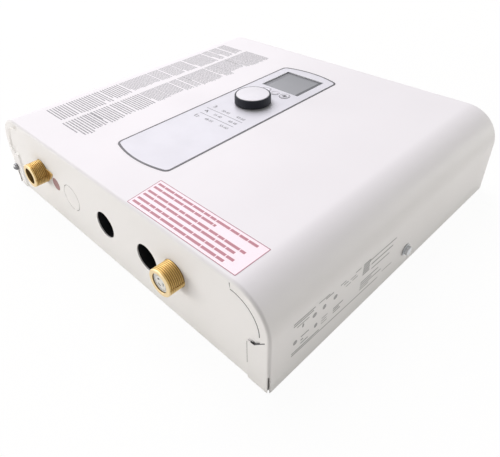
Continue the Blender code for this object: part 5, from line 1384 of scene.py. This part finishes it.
def dress_metal():
    dull = turned_metal("dull_zinc", *DULL_ZINC, "Z", DULL_ZINC_ROUGHNESS)
    dress(["cover_screw_left"], dull)
    dress(["cover_screw_right", "encoder_shaft", "valve_spindle", "valve_motor"],
          turned_metal("turned_zinc", *TURNED_ZINC, "Z"))
    brass = turned_metal("machined_brass", *MACHINED_BRASS, "Z")
    dress(["flow_valve_body", "heating_element_1", "heating_element_2", "heating_element_3",
           "outlet_temperature_sensor", "ground_bar"], brass)
    dress(["inlet_pipe", "outlet_pipe", "crossover_pipe_top", "crossover_pipe_bottom", "heater_cylinder_1",
           "heater_cylinder_2", "heater_cylinder_3"], copper_tube("copper"))
    dress(["cooling_block"], turned_metal("cut_aluminium", *CUT_ALUMINIUM, "X"))


def dress_controls():
    panel = moulded_plastic("panel_white", PANEL_WHITE, PANEL_ROUGHNESS, gloss=PANEL_GLOSS)
    dress(["control_panel", "key_1", "key_2", "key_3"], panel)
    dress(["knob_cap"], moulded_plastic("cap_white", CAP_WHITE, PANEL_ROUGHNESS, gloss=PANEL_GLOSS))
    dress(["knob"], moulded_plastic("knob_dark", KNOB_DARK, KNOB_ROUGHNESS, gloss=KNOB_GLOSS))
    dress(["display_glass"], display_window("display_window"))
    dress(["reset_button"], moulded_plastic("red_button", BUTTON_RED, BUTTON_ROUGHNESS))


def dress_inside():
    grey = moulded_plastic("grey_plastic", GREY_PLASTIC)
    dress(["display_module", "encoder_body", "board_carrier"], grey)
    dress(["control_board", "main_board"], circuit_board("board_green"))
    dress(["inlet_filter", "turbine_rotor", "control_socket", "terminal_block_1", "terminal_block_2"],
          moulded_plastic("natural_white", NATURAL_WHITE))
    dress(["cable_guide_1", "cable_guide_2", "flow_sensor_body", "safety_limiter", "control_plug",
           "triac_1", "triac_2", "triac_3"], moulded_plastic("black_plastic", BLACK_PLASTIC))
    dress(["control_lead"], cable_jacket("lead_grey", LEAD_GREY))
    dress(["power_lead_1", "power_lead_2", "power_lead_3"], cable_jacket("lead_black", LEAD_BLACK))


# Camera, floor and light

def camera():
    data = bpy.data.cameras.new("camera")
    data.sensor_width = CAMERA_SENSOR
    data.lens = CAMERA_LENS
    data.shift_x = CAMERA_SHIFT_X
    data.shift_y = CAMERA_SHIFT_Y
    data.clip_start = CAMERA_NEAR
    obj = in_scene("camera", data)
    obj.location = CAMERA_PLACE
    obj.rotation_euler = CAMERA_TURN
    bpy.context.scene.camera = obj


def lamp(name, place, aim, width, height, power, colour):
    """A soft light panel at a place, pointing at aim."""
    data = bpy.data.lights.new(name, "AREA")
    data.shape = "RECTANGLE"
    data.size = width
    data.size_y = height
    data.energy = power
    data.color = colour
    obj = in_scene(name, data)
    obj.location = place
    obj.rotation_euler = (Vector(aim) - Vector(place)).to_track_quat("-Z", "Y").to_euler()
    obj.visible_camera = False


def shader_node(tree, kind, **values):
    node = tree.nodes.new(kind)
    for name, value in values.items():
        node.inputs[name].default_value = value
    return node


def seen_share(tree, share):
    """A share for rays from the camera, metal and glass, and 0 for the light's own rays."""
    path = tree.nodes.new("ShaderNodeLightPath")
    socket = path.outputs["Is Camera Ray"]
    for name in ("Is Glossy Ray", "Is Transmission Ray"):
        either = tree.nodes.new("ShaderNodeMath")
        either.operation = "MAXIMUM"
        tree.links.new(socket, either.inputs[0])
        tree.links.new(path.outputs[name], either.inputs[1])
        socket = either.outputs[0]
    scaled = tree.nodes.new("ShaderNodeMath")
    scaled.operation = "MULTIPLY"
    scaled.inputs[1].default_value = share
    tree.links.new(socket, scaled.inputs[0])
    return scaled.outputs[0]


def shell_shader(tree, output, light, white, share):
    """One shader for the light's own rays, and a share of white where the background is seen."""
    mixer = tree.nodes.new("ShaderNodeMixShader")
    tree.links.new(seen_share(tree, share), mixer.inputs[0])
    tree.links.new(light.outputs[0], mixer.inputs[1])
    tree.links.new(white.outputs[0], mixer.inputs[2])
    tree.links.new(mixer.outputs[0], output.inputs["Surface"])


def world():
    shell = bpy.data.worlds.new("studio")
    bpy.context.scene.world = shell
    shell.use_nodes = True
    tree = shell.node_tree
    tree.nodes.clear()
    output = tree.nodes.new("ShaderNodeOutputWorld")
    soft = shader_node(tree, "ShaderNodeBackground", Color=(*WORLD_COLOUR, 1.0), Strength=WORLD_STRENGTH)
    white = shader_node(tree, "ShaderNodeBackground", Color=(*WHITE, 1.0), Strength=1.0)
    shell_shader(tree, output, soft, white, 1.0)


def floor():
    half = FLOOR_SIZE / 2
    mesh = bpy.data.meshes.new("floor")
    points = [(x, y, FLOOR_Z) for x, y in bar(-half, -half, half, half)]
    mesh.from_pydata(points, [], [(0, 1, 2, 3)])
    obj = in_scene("floor", mesh)
    material = bpy.data.materials.new("floor")
    material.use_nodes = True
    tree = material.node_tree
    tree.nodes.clear()
    output = tree.nodes.new("ShaderNodeOutputMaterial")
    matt = shader_node(tree, "ShaderNodeBsdfDiffuse", Color=(*FLOOR_COLOUR, 1.0))
    lifted = shader_node(tree, "ShaderNodeEmission", Strength=1.0)
    shell_shader(tree, output, matt, lifted, FLOOR_WHITE_SHARE)
    mesh.materials.append(material)


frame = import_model()
bpy.context.scene.view_settings.view_transform = "Standard"
camera()
for values in LAMPS:
    lamp(*values)
world()
floor()
dress_sheet()
dress_metal()
dress_controls()
dress_inside()
cover(powder_coat("case_white", PAINT, FOLD_PAINTED_SHADE))
threaded_fitting("hot_outlet_fitting", HOT_PLACE)
threaded_fitting("cold_inlet_fitting", COLD_PLACE)
fitting_lug("hot_fitting_lug", HOT_PLACE)
corner_painted_strips()
panel_border()
key_rings()
legend()
notice_frame()
front_print()
side_print()
red_spot()
knockout_line()
